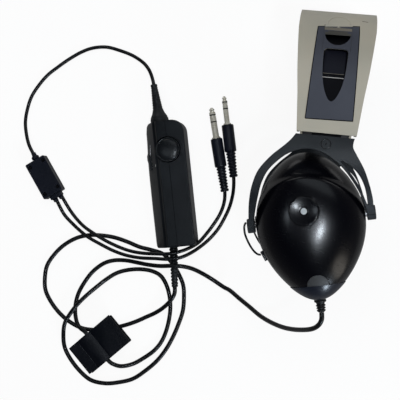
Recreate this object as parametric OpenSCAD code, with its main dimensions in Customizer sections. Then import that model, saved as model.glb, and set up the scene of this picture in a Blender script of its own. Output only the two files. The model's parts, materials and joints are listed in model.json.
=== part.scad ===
// Aviation headset lying on its left ear cup, with its control module, cords, clip and plugs.
// Millimetres. +Z is up from the table, +Y runs to the crown of the headband, +X is the wearer's front.

/* [Headband] */
// Half the width across the cover
band_half = 83; // [81:1:84]
// Thickness of the cover's skin
band_skin = 2; // [1.6:0.2:2.4]
// Width of the spring strip
spring_w = 34; // [28:1:38]
// Thickness of the crown cushion
pad_t = 16; // [10:1:20]
// Width of the sliders
slider_w = 24; // [20:1:28]

/* [Ear cups] */
// Depth of the ear seals
seal_t = 22; // [16:1:26]
// Width of the ear opening
ear_w = 46; // [42:1:52]
// Height of the ear opening
ear_h = 64; // [58:1:70]
// Radius of the pivot pins
pin_r = 2.4; // [2:0.1:2.8]
// Clearance between pin and socket
pin_fit = 0.05; // [0.02:0.01:0.1]
// Radius of the boom mount cap
cap_r = 12.3; // [11:0.1:13]
// Radius of the cap screw
screw_r = 2.6; // [2:0.1:3]
// Radius of the drivers
driver_r = 20; // [16:1:24]

/* [Control module] */
// Radius of the volume dials
dial_r = 12.5; // [10:0.5:13]
// Travel of the power switch
switch_travel = 6; // [4:1:7]
// Radius of the battery cells
cell_r = 7.1; // [6.5:0.1:7.1]

/* [Plugs and cords] */
// Radius of the headphone plug's shaft
phone_r = 3.17; // [3:0.01:3.3]
// Radius of the microphone plug's shaft
mic_r = 2.61; // [2.4:0.01:2.8]
// Radius of both plug handles
handle_r = 6; // [5:0.25:6]
// Radius of the cord between cup and module
cup_cord_r = 2.15; // [1.8:0.05:2.2]
// Radius of the other cords
thin_cord_r = 1.8; // [1.5:0.05:1.9]

/* [Hidden] */
$fn = 48;

// Layout of the headset
mid_z = band_half + 1;  // height of the middle plane over the table
head_x = -0.64;         // middle of the headband
pivot_y = -64.62;       // the pivots, below the middle of the length
cup_turn = 16.7;        // the cups and yokes lean this much against the headband
pivot_z = band_half - 30; // pivot line, out from the middle plane
rim_z = band_half - 41; // open rim of the shell
wall_z = band_half - 26; // widest plane of the shell
dome_h = 25;            // height of the dome over it
cap_at = [-1.5, 12.3];  // middle of the boom mount
seat_z = wall_z + 20;   // its seat in the dome
chin_y = -50.5;         // upper edge of the chin cover
relief_z = band_half - 36; // axis of the main cord's strain relief
pocket_k = 0.84;        // share of the outline that the pocket takes
pivot_up = 4.5;         // the pivots, above the cup's own zero
leg_y = 75;             // lower end of the headband's legs
arch_y = leg_y + 42;    // where they begin to curve
arch_flat = 14;         // half of the flat at the crown
band_turn = 4;          // the headband leans this much against the middle line
band_at = [2, 2];       // and its legs end this far off it
bow_r = band_half + 10; // radius of a yoke's bow, from the front
slide_z = band_half - band_skin - 3.9;  // inner face of the sliders

module in_headset() { translate([head_x, pivot_y, mid_z]) children(); }
// side 1 is the right half, on top, and side -1 the left half, on the table
module on_side(side) {
    in_headset()
        if (side > 0) children();
        else mirror([0, 0, 1]) children();
}
// The headband's own frame, with its legs ending at leg_y
module band_turned() {
    translate([band_at[0], leg_y + band_at[1], 0]) rotate([0, 0, band_turn]) translate([0, -leg_y, 0]) children();
}
module in_band() { in_headset() band_turned() children(); }
module on_band(side) {
    on_side(side) band_turned() children();
}
module on_cup(side) { on_side(side) rotate([0, 0, cup_turn]) children(); }

// ---- Lists, rings and sweeps ----

function unit(v) = v / norm(v);

// One point between b and c of a curve that runs through a, b, c and d
function curve_point(a, b, c, d, t) = 0.5 * (2 * b + (c - a) * t
    + (2 * a - 5 * b + 4 * c - d) * t * t + (3 * b - a - 3 * c + d) * t * t * t);
// An open curve through p, with n steps between its points
function curve(p, n) = let (last = len(p) - 1)
    concat([for (i = [0:last - 1], k = [0:n - 1])
        curve_point(p[max(i - 1, 0)], p[i], p[i + 1], p[min(i + 2, last)], k / n)], [p[last]]);

// Closed solid through rings that turn left about the way they are stacked
module ring_solid(rings) {
    n = len(rings[0]);
    m = len(rings);
    polyhedron(points = [for (r = rings) each r],
        faces = concat([[for (k = [0:n - 1]) k]],
            [for (r = [0:m - 2], k = [0:n - 1]) let (a = r * n + k, b = r * n + (k + 1) % n)
                each [[a, a + n, b + n], [a, b + n, b]]],
            [[for (k = [n - 1:-1:0]) (m - 1) * n + k]]));
}

// Closed solid through rings that come back to the first
module ring_loop(rings) {
    n = len(rings[0]);
    m = len(rings);
    polyhedron(points = [for (r = rings) each r],
        faces = [for (r = [0:m - 1], k = [0:n - 1])
            let (a = r * n + k, b = r * n + (k + 1) % n,
                c = ((r + 1) % m) * n + k, d = ((r + 1) % m) * n + (k + 1) % n)
                each [[a, c, d], [a, d, b]]]);
}

// Direction of a route at its point i
function route_dir(p, i) = unit(p[min(i + 1, len(p) - 1)] - p[max(i - 1, 0)]);
function route_ring(p, i, r, n) = let (d = route_dir(p, i), s = unit(cross(d, [0, 0, 1])), u = cross(s, d))
    [for (k = [0:n - 1]) p[i] + r * (cos(360 * k / n) * s - sin(360 * k / n) * u)];
module cord(p, r, n = 8) { ring_solid([for (i = [0:len(p) - 1]) route_ring(p, i, r, n)]); }

// A ribbed sleeve along +Z, thick at its foot
module ribbed(length, r1, r2, ribs) {
    step = length / ribs;
    for (i = [0:ribs - 1]) {
        r = r1 + (r2 - r1) * i / ribs;
        translate([0, 0, i * step]) cylinder(h = step * 0.62, r = r);
        translate([0, 0, i * step]) cylinder(h = step + 0.02, r = r - 0.7);
    }
}
// Turns +Z to the direction from a to b, with its foot at a
module along(a, b) {
    v = b - a;
    translate(a) rotate([0, acos(v[2] / norm(v)), atan2(v[1], v[0])]) children();
}

module rounded_plate(w, l, h, r) {
    linear_extrude(h) for (x = [-1, 1]) {
        translate([x * (w / 2 - r), -l / 2 + r]) circle(r);
        translate([x * (w / 2 - r), l / 2 - r]) circle(r);
        square([w - 2 * r, l], center = true);
        square([w, l - 2 * r], center = true);
    }
}

// ---- Ear cup outline ----

// Point of the outline at angle t from the top, k times as large
function cup_edge(t, k) = [2.7 + k * 46 * sin(t) * (1 + 0.07 * cos(t) - 0.2 * cos(t) * cos(t)),
    -1.1 + k * 62.3 * cos(t)];
module cup_outline(k) { polygon([for (i = [0:47]) cup_edge(-7.5 * i, k)]); }

// The cup's outer form: [height, share of the outline] up the side, then the dome
cup_sides = [[rim_z, 0.93], [rim_z + 7, 0.98], [wall_z, 1]];
dome_steps = [0.97, 0.92, 0.84, 0.74, 0.62, 0.48, 0.34];
function dome_z(k) = wall_z + dome_h * sqrt(1 - pow(k, 2.5));
function dome_point(t, k, drop, grow) = let (e = cup_edge(t, grow))
    [cap_at[0] + (e[0] - cap_at[0]) * k, cap_at[1] + (e[1] - cap_at[1]) * k, dome_z(k) - drop];
module cup_form(drop = 0, grow = 1) {
    ring_solid(concat(
        [for (s = cup_sides) [for (i = [0:35]) let (e = cup_edge(-10 * i, s[1] * grow)) [e[0], e[1], s[0]]]],
        [for (k = dome_steps) [for (i = [0:35]) dome_point(-10 * i, k, drop, grow)]]));
}
// The dome over the brow lies brow_drop lower
brow_drop = 2.2;
module cup_dome() {
    cup_form(brow_drop);
    intersection() {
        cup_form();
        translate([-3, -15, 0]) cylinder(h = 120, r = 55.8, $fn = 72);
    }
}
// Block on the cup's rim that the crossover wire runs into
wire_block = [[-38.9, -21.8], 21.8];
module chin_space() { translate([-60, -90, 0]) cube([120, 90 + chin_y, 120]); }
module tab_space() {
    intersection() {
        translate([3, chin_y, wall_z + 9]) cylinder(h = 20, r = 9.3);
        translate([-60, chin_y, 0]) cube([120, 40, 120]);
    }
}
module relief_bore(r) { translate([3, -56, relief_z]) rotate([90, 0, 0]) cylinder(h = 14, r = r); }

module cup_shell(side) {
    on_cup(side) color("black") difference() {
        union() {
            cup_dome();
            translate([wire_block[0][0], wire_block[0][1], pivot_z - 4.5]) rotate([0, 0, wire_block[1]])
                translate([-2.2, -4.5, 0]) cube([6, 9, 7]);
        }
        chin_space();
        tab_space();
        translate([0, 0, rim_z - 1]) linear_extrude(23) intersection() {
            cup_outline(pocket_k);
            translate([-60, chin_y + 3]) square([120, 140]);
        }
        translate([cap_at[0], cap_at[1], seat_z]) cylinder(h = 10, r = cap_r + 0.3);
        // Pivot sockets
        translate([-46, pivot_up, pivot_z]) rotate([0, 90, 0]) cylinder(h = 7.5, r = pin_r + pin_fit);
        translate([43.5, pivot_up, pivot_z]) rotate([0, 90, 0]) cylinder(h = 8, r = pin_r + pin_fit);
    }
}
module chin_cover(side) {
    on_cup(side) color("black") difference() {
        intersection() {
            cup_form(0, 1.01);
            chin_space();
        }
        if (side > 0) relief_bore(4.2);
    }
}
module port_tab(side) {
    on_cup(side) color("dimgray") intersection() {
        cup_form();
        tab_space();
    }
}
// The pocket's own outline, for what fills it
module pocket_plate(h) {
    linear_extrude(h) intersection() {
        cup_outline(pocket_k);
        translate([-60, chin_y + 3]) square([120, 140]);
    }
}
module cup_baffle(side) {
    on_cup(side) color("dimgray") translate([0, 0, rim_z + 1.2]) difference() {
        pocket_plate(2.8);
        translate([0, 8, -1]) cylinder(h = 5, r = driver_r - 3);
    }
}
module driver(side) {
    on_cup(side) color("silver") translate([0, 8, rim_z + 4]) union() {
        cylinder(h = 3, r = driver_r);
        translate([0, 0, 3]) cylinder(h = 5, r1 = driver_r - 3, r2 = driver_r * 0.6);
        translate([0, 0, 8]) cylinder(h = 5, r = driver_r * 0.6);
    }
}
module ear_screen(side) {
    on_cup(side) color("dimgray") translate([0, 0, rim_z]) pocket_plate(1.2);
}
// Section of the ear seal: share of the way out, share of the depth, from the shell's side
seal_section = [[0.12, 0], [0.88, 0], [0.97, 0.1], [1.02, 0.32], [1.03, 0.58], [0.96, 0.82],
    [0.78, 0.97], [0.5, 1], [0.24, 0.96], [0.07, 0.8], [0, 0.5], [0.03, 0.16]];
module ear_seal(side) {
    on_cup(side) color("black") ring_loop([for (i = [0:35]) let (t = -10 * i, e = cup_edge(t, 0.92),
        o = [2.7 + ear_w / 2 * sin(t), 1 + ear_h / 2 * cos(t)])
        [for (s = seal_section) [o[0] + (e[0] - o[0]) * s[0], o[1] + (e[1] - o[1]) * s[0],
            rim_z - seal_t * s[1]]]]);
}

module boom_cap() {
    on_cup(1) color("black") translate([cap_at[0], cap_at[1], seat_z]) rotate_extrude()
        polygon([[screw_r, 2], [cap_r, 2], [cap_r, 6.1], [cap_r - 0.6, 6.7], [screw_r + 2, 7],
            [screw_r, 7]]);
    on_cup(1) color("black") translate([cap_at[0], cap_at[1], seat_z]) cylinder(h = 2, r = cap_r);
}
module cap_screw() {
    on_cup(1) color("silver") translate([cap_at[0], cap_at[1], seat_z + 2]) difference() {
        cylinder(h = 4.9, r = screw_r);
        translate([-3, -0.4, 4]) cube([6, 0.8, 2]);
    }
}
module cup_strain_relief() {
    on_cup(1) color("black") union() {
        translate([3, -56, relief_z]) rotate([90, 0, 0]) cylinder(h = 9, r = 4.2);
        translate([3, -65, relief_z]) rotate([90, 0, 0]) ribbed(11, 4.2, 3, 3);
    }
}
// Wire between a yoke's rear arm and the cup, on the cup's own plane
wire_path = [[-52, 7.9], [-53.5, 5.6], [-54.1, 2.2], [-53.8, -2.8], [-51.8, -9.6], [-48.9, -15.9],
    [-45.6, -19.9], [-42.5, -21.05]];
module crossover_wire(side) {
    on_cup(side) color("black") cord([for (p = wire_path) [p[0], p[1], pivot_z - 1]], 0.9, 6);
}

// ---- Yokes ----

// Inner edge from the rear arm over the top to the front arm, then the outer edge back
yoke_inner = [[-45, -12], [-45, 0], [-45, 10], [-44, 20], [-41.3, 30.5], [-37.2, 41], [-30.5, 50.5],
    [-21, 57.5], [-10, 62.4], [1, 64], [10, 62.8], [19.5, 58.6], [27, 53.3], [34.3, 46.4],
    [41.4, 35.2], [46.8, 22.5], [49.9, 9], [50.3, 0], [50.3, -12]];
yoke_outer = [[58.5, -12], [58.5, 0], [55.8, 7.5], [55.5, 16], [54, 26.7], [51, 40], [46, 53], [44, 60],
    [47, 68]];
yoke_neck = [[-1, 78], [-12.5, 69], [-26.2, 62], [-38.2, 51], [-45, 39], [-48.8, 27], [-50.2, 13],
    [-50.5, 0], [-50.5, -12]];
yoke_slot = [[36.8, 46.6], [43.8, 36], [48.9, 24], [51.6, 12], [52.4, 12.6], [51.4, 27], [46.8, 39],
    [38.4, 47.2]];
module yoke_plan() {
    difference() {
        polygon(concat(curve(yoke_inner, 3), curve(yoke_outer, 3), curve(yoke_neck, 3)));
        polygon(curve(concat(yoke_slot, [yoke_slot[0]]), 3));
    }
}
// The bow of the yoke, seen from the front
module yoke_bow() {
    rotate([90, 0, 90]) linear_extrude(140, center = true) difference() {
        translate([62, -10]) circle(bow_r, $fn = 180);
        translate([62, -10]) circle(bow_r - 9, $fn = 180);
        translate([-60, -120]) square([240, 120]);
        translate([pivot_up - 80, -20]) square([80, 140]);
    }
}
module yoke(side) {
    on_cup(side) color("dimgray") difference() {
        union() {
            intersection() {
                translate([0, 0, pivot_z - 23]) linear_extrude(60) yoke_plan();
                yoke_bow();
            }
            translate([-51, pivot_up, pivot_z]) rotate([0, 90, 0]) cylinder(h = 6, r = 6.2);
            translate([50.3, pivot_up, pivot_z]) rotate([0, 90, 0]) cylinder(h = 7.2, r = 6.2);
        }
        translate([-60, pivot_up, pivot_z]) rotate([0, 90, 0]) cylinder(h = 120, r = pin_r);
        // Slot that the slider is set into
        rotate([0, 0, -cup_turn]) band_turned() slider_strip();
        // End under the headband, square to it
        rotate([0, 0, -cup_turn]) band_turned() translate([-60, leg_y - 2.2, 40]) cube([120, 60, 60]);
    }
}
module slider_strip() { translate([-slider_w / 2, leg_y - 9, slide_z]) cube([slider_w, arch_y - leg_y + 18, 3]); }
module slider(side) {
    on_band(side) color("dimgray") union() {
        slider_strip();
        translate([-slider_w / 2 + 3, arch_y + 3, slide_z + 2]) cube([slider_w - 6, 1.6, 1.5]);
    }
}
module pivot_pins(side) {
    on_cup(side) color("silver") union() {
        translate([-51, pivot_up, pivot_z]) rotate([0, 90, 0]) cylinder(h = 12, r = pin_r);
        translate([44.5, pivot_up, pivot_z]) rotate([0, 90, 0]) cylinder(h = 13, r = pin_r);
    }
}

// ---- Headband ----

// Area under the arch, drawn in by inset, down to the level y0
module arch_area(inset, y0) {
    r = band_half - arch_flat - inset;
    translate([-arch_flat - r, y0]) square([2 * (arch_flat + r), arch_y - y0]);
    intersection() {
        for (s = [-1, 1]) translate([s * arch_flat, arch_y]) circle(r, $fn = 120);
        translate([-100, arch_y]) square([200, 100]);
    }
    translate([-arch_flat, arch_y - 1]) square([2 * arch_flat, r + 1]);
}
// The arch between two insets, w wide
module arch(from, to, y0, w) {
    rotate([0, -90, 0]) linear_extrude(w, center = true) difference() {
        arch_area(from, y0);
        arch_area(to, y0 - 1);
    }
}
// Half of the band's width at levels over leg_y, which grows to the crown
band_steps = [[-2, 24.2], [0, 24.4], [31, 27], [50, 29.1], [71, 30.9], [88, 32.2], [100, 32.3], [114, 32]];
// Plan of the band, drawn in by inset at each edge
module band_plan(inset) {
    linear_extrude(200, center = true) polygon(concat([for (s = band_steps) [s[1] - inset, leg_y + s[0]]],
        [for (i = [len(band_steps) - 1:-1:0]) [inset - band_steps[i][1], leg_y + band_steps[i][0]]]));
}
plate_x = 0.7;          // the adjuster plates, off the band's middle
module plate_plan(more) {
    translate([0, 0, 20]) linear_extrude(80) offset(delta = more) polygon([for (p = [[-18.9, leg_y + 11],
        [18.9, leg_y + 12], [16.9, arch_y + 50], [-16.6, arch_y + 47]]) [plate_x + p[0], p[1]]]);
}
// Half of the drop: [half width, level over arch_y]
drop_half = [[0, 27.8], [5.5, 27.7], [8.6, 27], [9.9, 24.6], [9.7, 15], [9, 5], [7, -5], [3.6, -13], [1.2, -15.6],
    [0, -16]];
// Openings of the adjuster plate: the half-moon and the drop below it
module plate_windows() {
    translate([plate_x, arch_y, 20]) linear_extrude(80) {
        intersection() {
            translate([0, 41.6]) circle(10.6);
            translate([-12, 20]) square([24, 22.2]);
        }
        polygon(concat([for (p = curve(drop_half, 3)) p], [for (p = curve([for (i = [len(drop_half) - 1:-1:0])
            [-drop_half[i][0], drop_half[i][1]]], 3)) p]));
    }
}
module headband_cover() {
    in_band() color("silver") difference() {
        intersection() {
            arch(0, 12, leg_y, 80);
            band_plan(0);
        }
        intersection() {
            arch(band_skin, 14, leg_y - 1, 80);
            band_plan(2.2);
        }
        for (s = [0, 1]) mirror([0, 0, s]) {
            intersection() {
                arch(-5, 0.4, leg_y, 80);
                plate_plan(0.6);
            }
            plate_windows();
        }
    }
}
module adjuster_plate(side) {
    on_band(side) color("slategray") difference() {
        intersection() {
            arch(-0.8, 0.4, leg_y, 80);
            plate_plan(0);
        }
        plate_windows();
    }
}
module headband_spring() {
    in_band() color("silver")
        arch(band_half - slide_z + 0.28, band_half - slide_z + 1.28, leg_y + 5, spring_w);
}
module headband_liner() {
    in_band() color("black") intersection() {
        arch(band_half - slide_z + 1.3, band_half - slide_z + 3.9, leg_y + 3, 80);
        band_plan(2.2);
    }
}
// Stations of the crown cushion: [side of the flat, angle]
pad_stations = concat([for (a = [-55:11:0]) [-arch_flat, a]], [[0, 0]], [for (a = [0:11:55]) [arch_flat, a]]);
pad_section = [[31, -0.35], [30, -0.06], [26, 0], [-26, 0], [-30, -0.06], [-31, -0.35], [-29.5, -0.75],
    [-23, -0.95], [-11, -1], [0, -1.02], [11, -1], [23, -0.95], [29.5, -0.75]];
module headband_pad() {
    r = band_half - arch_flat - (band_half - slide_z + 3.9);
    in_band() color("black") ring_solid([for (s = pad_stations)
        let (thin = pad_t * (0.3 + 0.7 * pow(cos(s[1] * 1.35), 0.6)))
        [for (q = pad_section) let (h = r + q[1] * thin)
            [q[0] * 0.92, arch_y + h * cos(s[1]), s[0] + h * sin(s[1])]]]);
}

// ---- Microphone boom, on the left cup ----

boom_path = [for (p = [[24, 12, 5.4], [29, 11, 5.3], [34, 8.5, 5], [39, 4, 4], [42.5, -3, 3], [44, -11, 1.6],
    [43.5, -19, 0.3]]) [p[0], p[1], seat_z + p[2]]];
mic_line = [[43.5, -19, seat_z + 0.3], [41, -40, seat_z + 0.2]];
module boom_hub() {
    on_cup(-1) color("black") difference() {
        union() {
            translate([cap_at[0], cap_at[1], seat_z]) cylinder(h = 7, r = cap_r);
            translate([cap_at[0], cap_at[1] - 3.5, seat_z + 4.3]) cube([26, 7, 2.6]);
        }
        translate([cap_at[0], cap_at[1], seat_z + 4]) cylinder(h = 5, r = screw_r);
    }
}
module boom_hub_screw() {
    on_cup(-1) color("silver") translate([cap_at[0], cap_at[1], seat_z + 4]) cylinder(h = 2.8, r = screw_r);
}
module boom_arm() { on_cup(-1) color("black") cord(curve(boom_path, 2), 1.5, 8); }
module mic_body() {
    on_cup(-1) color("black") along(mic_line[0], mic_line[1]) cylinder(h = 16, r = 4.2);
}
module mic_muff() {
    on_cup(-1) color("black") along(mic_line[0], mic_line[1]) rotate_extrude()
        polygon([[4.2, 4], [5.6, 5], [6.6, 8], [6.6, 14], [5.6, 18.5], [3.6, 20.6], [0, 21.2], [0, 16],
            [4.2, 16]]);
}

// ---- Control module, lying on the table ----

box_l = 127;
box_w = 40;
box_h = 28;
face_x = 10;                // how far the sloping front leans back
seam_x = 22.3;              // the two shells meet here, through the dials' middle
dial_at = [seam_x, 92.4];
module in_module() { translate([-145.29, -114.39, 0]) rotate([0, 0, 16]) children(); }
// Along the module with the profile in its x and z
module bar(l) { translate([0, l, 0]) rotate([90, 0, 0]) linear_extrude(l) children(); }
module box_form() {
    intersection() {
        bar(box_l) polygon([[0, 0], [box_w, 0], [box_w, box_h - 2], [box_w - 2, box_h], [face_x, box_h],
            [face_x - 1, box_h - 1.4]]);
        translate([0, 0, 10]) linear_extrude(60, center = true) union() {
            translate([0, 3]) square([box_w, box_l - 15]);
            translate([3, 0]) square([box_w - 8, box_l]);
            translate([3, 3]) circle(3);
            translate([3, box_l - 3]) circle(3);
            translate([box_w - 5, 5]) circle(5);
            translate([box_w - 12, box_l - 12]) circle(12);
        }
        translate([0, 0, 10]) linear_extrude(60, center = true) union() {
            square([box_w - 12, box_l]);
            square([box_w, box_l - 12]);
            translate([box_w - 12, box_l - 12]) circle(12);
        }
    }
}
module box_hollow() {
    for (y = [[3, 73], [109, 15]]) translate([0, y[0], 0]) bar(y[1])
        polygon([[3.2, 2], [box_w - 3, 2], [box_w - 3, box_h - 2], [11.8, box_h - 2]]);
}
module dial_pockets() {
    for (z = [box_h - 6, -1]) translate([dial_at[0], dial_at[1], z]) cylinder(h = 7, r = dial_r + 0.5);
    translate([dial_at[0], dial_at[1], -1]) cylinder(h = 30, r = 2.05);
}
// The battery door fills this, less the gap
door = [2, 62, 20];
door_gap = 0.15;
module door_space() {
    translate([box_w - door[0] - door_gap, 8 - door_gap, 4 - door_gap])
        cube([4, door[1] + 2 * door_gap, door[2] + 2 * door_gap]);
    translate([box_w - 5, 12, 5.5]) cube([5, 54, 17]);
}
// On the sloping front, with +Z out of its face, at y and height z
module on_face(y, z) {
    translate([face_x * z / box_h, y, z]) rotate([0, atan2(face_x, box_h) - 90, 0]) children();
}
module box_cuts() {
    box_hollow();
    dial_pockets();
    on_face(82, 14) translate([-3, -5 - switch_travel / 2, -4]) cube([6, 10 + switch_travel, 6]);
    on_face(78, 22.5) translate([0, 0, -4]) cylinder(h = 6, r = 1.5);
    door_space();
    translate([14.4, box_l - 4, 9.5]) rotate([-90, 0, 0]) cylinder(h = 6, r = 5);
    translate([15.4, -1, 9]) rotate([-90, 0, 0]) cylinder(h = 5, r = 4);
}
module module_front_shell() {
    in_module() color("black") difference() {
        intersection() {
            box_form();
            translate([-5, -5, -5]) cube([seam_x + 5, box_l + 10, 50]);
        }
        box_cuts();
    }
}
module module_back_shell() {
    in_module() color("black") union() {
        difference() {
            intersection() {
                box_form();
                translate([seam_x, -5, -5]) cube([40, box_l + 10, 50]);
            }
            box_cuts();
        }
        for (y = [12, 66]) translate([30, y, 20.6]) cylinder(h = 5.4, r = 2);
    }
}
module circuit_board() {
    in_module() color("green") union() {
        translate([14, 6, 19]) cube([22, 66, 1.6]);
        translate([18, 20, 20.6]) cube([8, 8, 1.4]);
        translate([24, 40, 20.6]) cube([6, 10, 2]);
    }
}
module battery_cells() {
    in_module() color("silver") for (x = [15.4, 15.4 + 2 * cell_r + 0.2]) {
        translate([x, 10, 2 + cell_r]) rotate([-90, 0, 0]) cylinder(h = 49, r = cell_r);
        translate([x, 58, 2 + cell_r]) rotate([-90, 0, 0]) cylinder(h = 2.6, r = 2.6);
    }
}
module battery_door() {
    in_module() color("black") difference() {
        translate([box_w - door[0], 8, 4]) cube(door);
        for (y = [56:3:62]) translate([box_w - 0.4, y, 8]) cube([1, 1.2, 12]);
    }
}
module indicator_lens() {
    in_module() color("white") on_face(78, 22.5) translate([0, 0, -4]) cylinder(h = 4.4, r = 1.5);
}
module power_switch() {
    in_module() color("dimgray") on_face(82, 14) difference() {
        translate([-2.6, -5 - switch_travel / 2 + 0.2, -3.9]) cube([5.2, 9.6, 5.9]);
        for (y = [-4, -1.5, 1]) translate([-3, y - switch_travel / 2, 1.3]) cube([6, 0.9, 2]);
    }
}
module volume_dial() {
    rotate_extrude() polygon([[0, 0], [dial_r, 0], [dial_r, 5.1], [dial_r - 0.5, 5.6],
        [dial_r * 0.6, 5.9], [0, 5.9]]);
    translate([0, 0, -6]) cylinder(h = 6.5, r = 2);
}
module volume_dial_upper() {
    in_module() color("dimgray") translate([dial_at[0], dial_at[1], box_h - 5.95]) volume_dial();
}
module volume_dial_lower() {
    in_module() color("dimgray") translate([dial_at[0], dial_at[1], 5.95]) mirror([0, 0, 1]) volume_dial();
}
// Where the cords' reliefs leave the module, and where they end
relief_in = [[14.4, box_l, 9.5], [12, box_l + 33.5, 9]];
relief_out = [[15.4, 0, 9], [12.2, -45.4, 9]];
module module_reliefs() {
    in_module() color("black") union() {
        translate([14.4, box_l - 4, 9.5]) rotate([-90, 0, 0]) cylinder(h = 5, r = 5);
        translate(relief_in[0]) rotate([-90, 0, 0]) rotate_extrude()
            polygon([[0, 0], [9, 0], [9, 1], [7.4, 3], [6.3, 6], [5.6, 9], [5, 11], [0, 11]]);
        along(relief_in[0], relief_in[1]) translate([0, 0, 9]) ribbed(24.5, 5, 3, 6);
        translate([15.4, -1, 9]) rotate([-90, 0, 0]) cylinder(h = 5, r = 4);
        translate([15.4, -2, 9]) rotate([-90, 0, 0]) cylinder(h = 2, r = 5);
        along(relief_out[0], relief_out[1]) translate([0, 0, 1.2]) ribbed(44.2, 4.2, 3, 12);
    }
}

// ---- Cords ----

route_cup = [[24.11, -136.59, 131], [24.51, -138.19, 131], [25.11, -142.39, 130.4], [24.01, -146.89, 128.7],
    [21.31, -150.79, 125.6], [17.21, -153.89, 121], [11.31, -156.89, 112.3], [3.61, -159.99, 99.6], [-5.79, -162.39, 84],
    [-17.19, -162.99, 66],
    [-29.49, -161.39, 48], [-42.69, -156.79, 31], [-54.39, -152.49, 18], [-65.39, -147.59, 9.5],
    [-72.99, -145.79, 4.6], [-84.19, -140.99, 4.4], [-95.29, -136.49, 6.8], [-106.29, -132.99, 11],
    [-116.29, -132.09, 14.8], [-126.49, -133.29, 16], [-139.09, -136.09, 13], [-151.79, -137.49, 9],
    [-163.49, -137.79, 5.5], [-176.19, -138.09, 3], [-188.79, -140.39, 2.2], [-199.29, -145.79, 2.2],
    [-208.69, -155.79, 2.2], [-214.99, -167.29, 2.2], [-219.29, -178.89, 2.2], [-220.79, -189.29, 2.2],
    [-219.99, -198.59, 2.8], [-217.59, -205.69, 4.6], [-214.09, -211.19, 7.2], [-209.69, -214.39, 9.8],
    [-203.09, -217.69, 10.9], [-189.49, -229.09, 10.9], [-175.79, -240.49, 10.9], [-168.89, -243.89, 10.2],
    [-160.79, -244.69, 7.4], [-150.69, -240.89, 4], [-141.49, -233.59, 2.4], [-132.19, -224.09, 2.2],
    [-126.09, -213.59, 2.2], [-122.99, -201.19, 2.2], [-122.09, -187.79, 2.2], [-123.09, -175.59, 2.2],
    [-126.29, -164.29, 2.2], [-131.49, -154.19, 2.2], [-138.79, -146.69, 2.2], [-149.09, -143.79, 2.2],
    [-161.59, -144.49, 2.2], [-174.09, -147.89, 2.2], [-184.49, -153.19, 2.2], [-193.89, -161.69, 3.2],
    [-202.09, -171.09, 5.8], [-209.39, -179.99, 7.8], [-216.69, -190.09, 8.2], [-223.09, -201.69, 7.8],
    [-227.39, -213.29, 7.2], [-227.49, -225.89, 4.2], [-224.49, -238.39, 2.2], [-215.99, -249.59, 2.2],
    [-204.29, -259.59, 2.2], [-191.59, -266.39, 2.2], [-176.89, -266.89, 2.2], [-163.29, -263.29, 2.2],
    [-148.69, -256.59, 2.2], [-137.29, -245.89, 2.2], [-126.99, -233.19, 2.2], [-119.79, -219.59, 2.2],
    [-114.79, -205.09, 2.2], [-111.69, -191.69, 2.2], [-109.69, -178.29, 2.2], [-110.79, -164.99, 2.2],
    [-113.99, -151.79, 2.2], [-121.19, -140.69, 2.2], [-129.49, -131.59, 2.2], [-139.89, -124.59, 2.2],
    [-152.29, -122.79, 2.2], [-164.79, -121.99, 2.2], [-178.39, -119.09, 2.2], [-191.99, -117.19, 2.2],
    [-205.59, -117.49, 2.2], [-219.29, -119.69, 2.2], [-231.99, -125.09, 2.2], [-243.69, -134.69, 2.2],
    [-252.19, -146.29, 2.2], [-257.59, -158.89, 2.2], [-257.59, -172.49, 2.2], [-254.39, -184.89, 2.2],
    [-245.79, -196.19, 2.2], [-235.09, -205.29, 2.2], [-223.39, -211.69, 2.2], [-209.69, -215.49, 2.2],
    [-195.99, -214.59, 2.2], [-183.29, -211.09, 2.2], [-169.69, -205.59, 2.2], [-157.19, -198.99, 2.2],
    [-145.79, -191.29, 2.4], [-136.39, -184.59, 3.4], [-128.39, -176.69, 5.6], [-122.69, -168.29, 7.8],
    [-120.29, -160.99, 8.8], [-121.09, -154.69, 9]];
route_splitter = [[-177.99, 43.21, 9], [-181.19, 50.41, 8.6], [-186.39, 57.91, 6.6], [-194.29, 64.31, 3.6],
    [-206.69, 69.71, 1.9], [-220.59, 72.61, 1.8], [-234.39, 73.91, 1.8], [-248.09, 71.01, 1.8], [-259.79, 64.91, 1.8],
    [-271.49, 55.71, 1.8], [-282.19, 45.51, 1.8], [-291.79, 35.21, 1.8], [-299.39, 22.81, 1.8],
    [-304.69, 10.31, 1.8], [-306.69, -3.39, 1.8], [-306.39, -15.99, 2], [-302.89, -27.59, 3.4], [-297.59, -38.19, 5.6],
    [-291.29, -46.69, 6.2]];
route_plug_2 = [[-259.09, -88.39, 6.2], [-255.29, -93.99, 5.6], [-248.09, -103.49, 3.6], [-238.49, -110.79, 3.2],
    [-227.69, -116.99, 5.6], [-217.99, -121.59, 7.2], [-206.29, -125.59, 7.2], [-191.59, -129.99, 6.8],
    [-176.89, -132.29, 7.6], [-161.09, -131.99, 10.6], [-145.29, -129.49, 14], [-131.19, -127.49, 15.4],
    [-119.49, -123.49, 14], [-110.49, -117.29, 10.2], [-102.69, -109.69, 5.6], [-95.29, -100.49, 2.6],
    [-88.69, -89.19, 1.8], [-84.19, -76.89, 1.8], [-81.09, -64.59, 2.2], [-79.99, -52.29, 3.8], [-80.59, -42.49, 5.6],
    [-81.99, -34.99, 6]];
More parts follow.
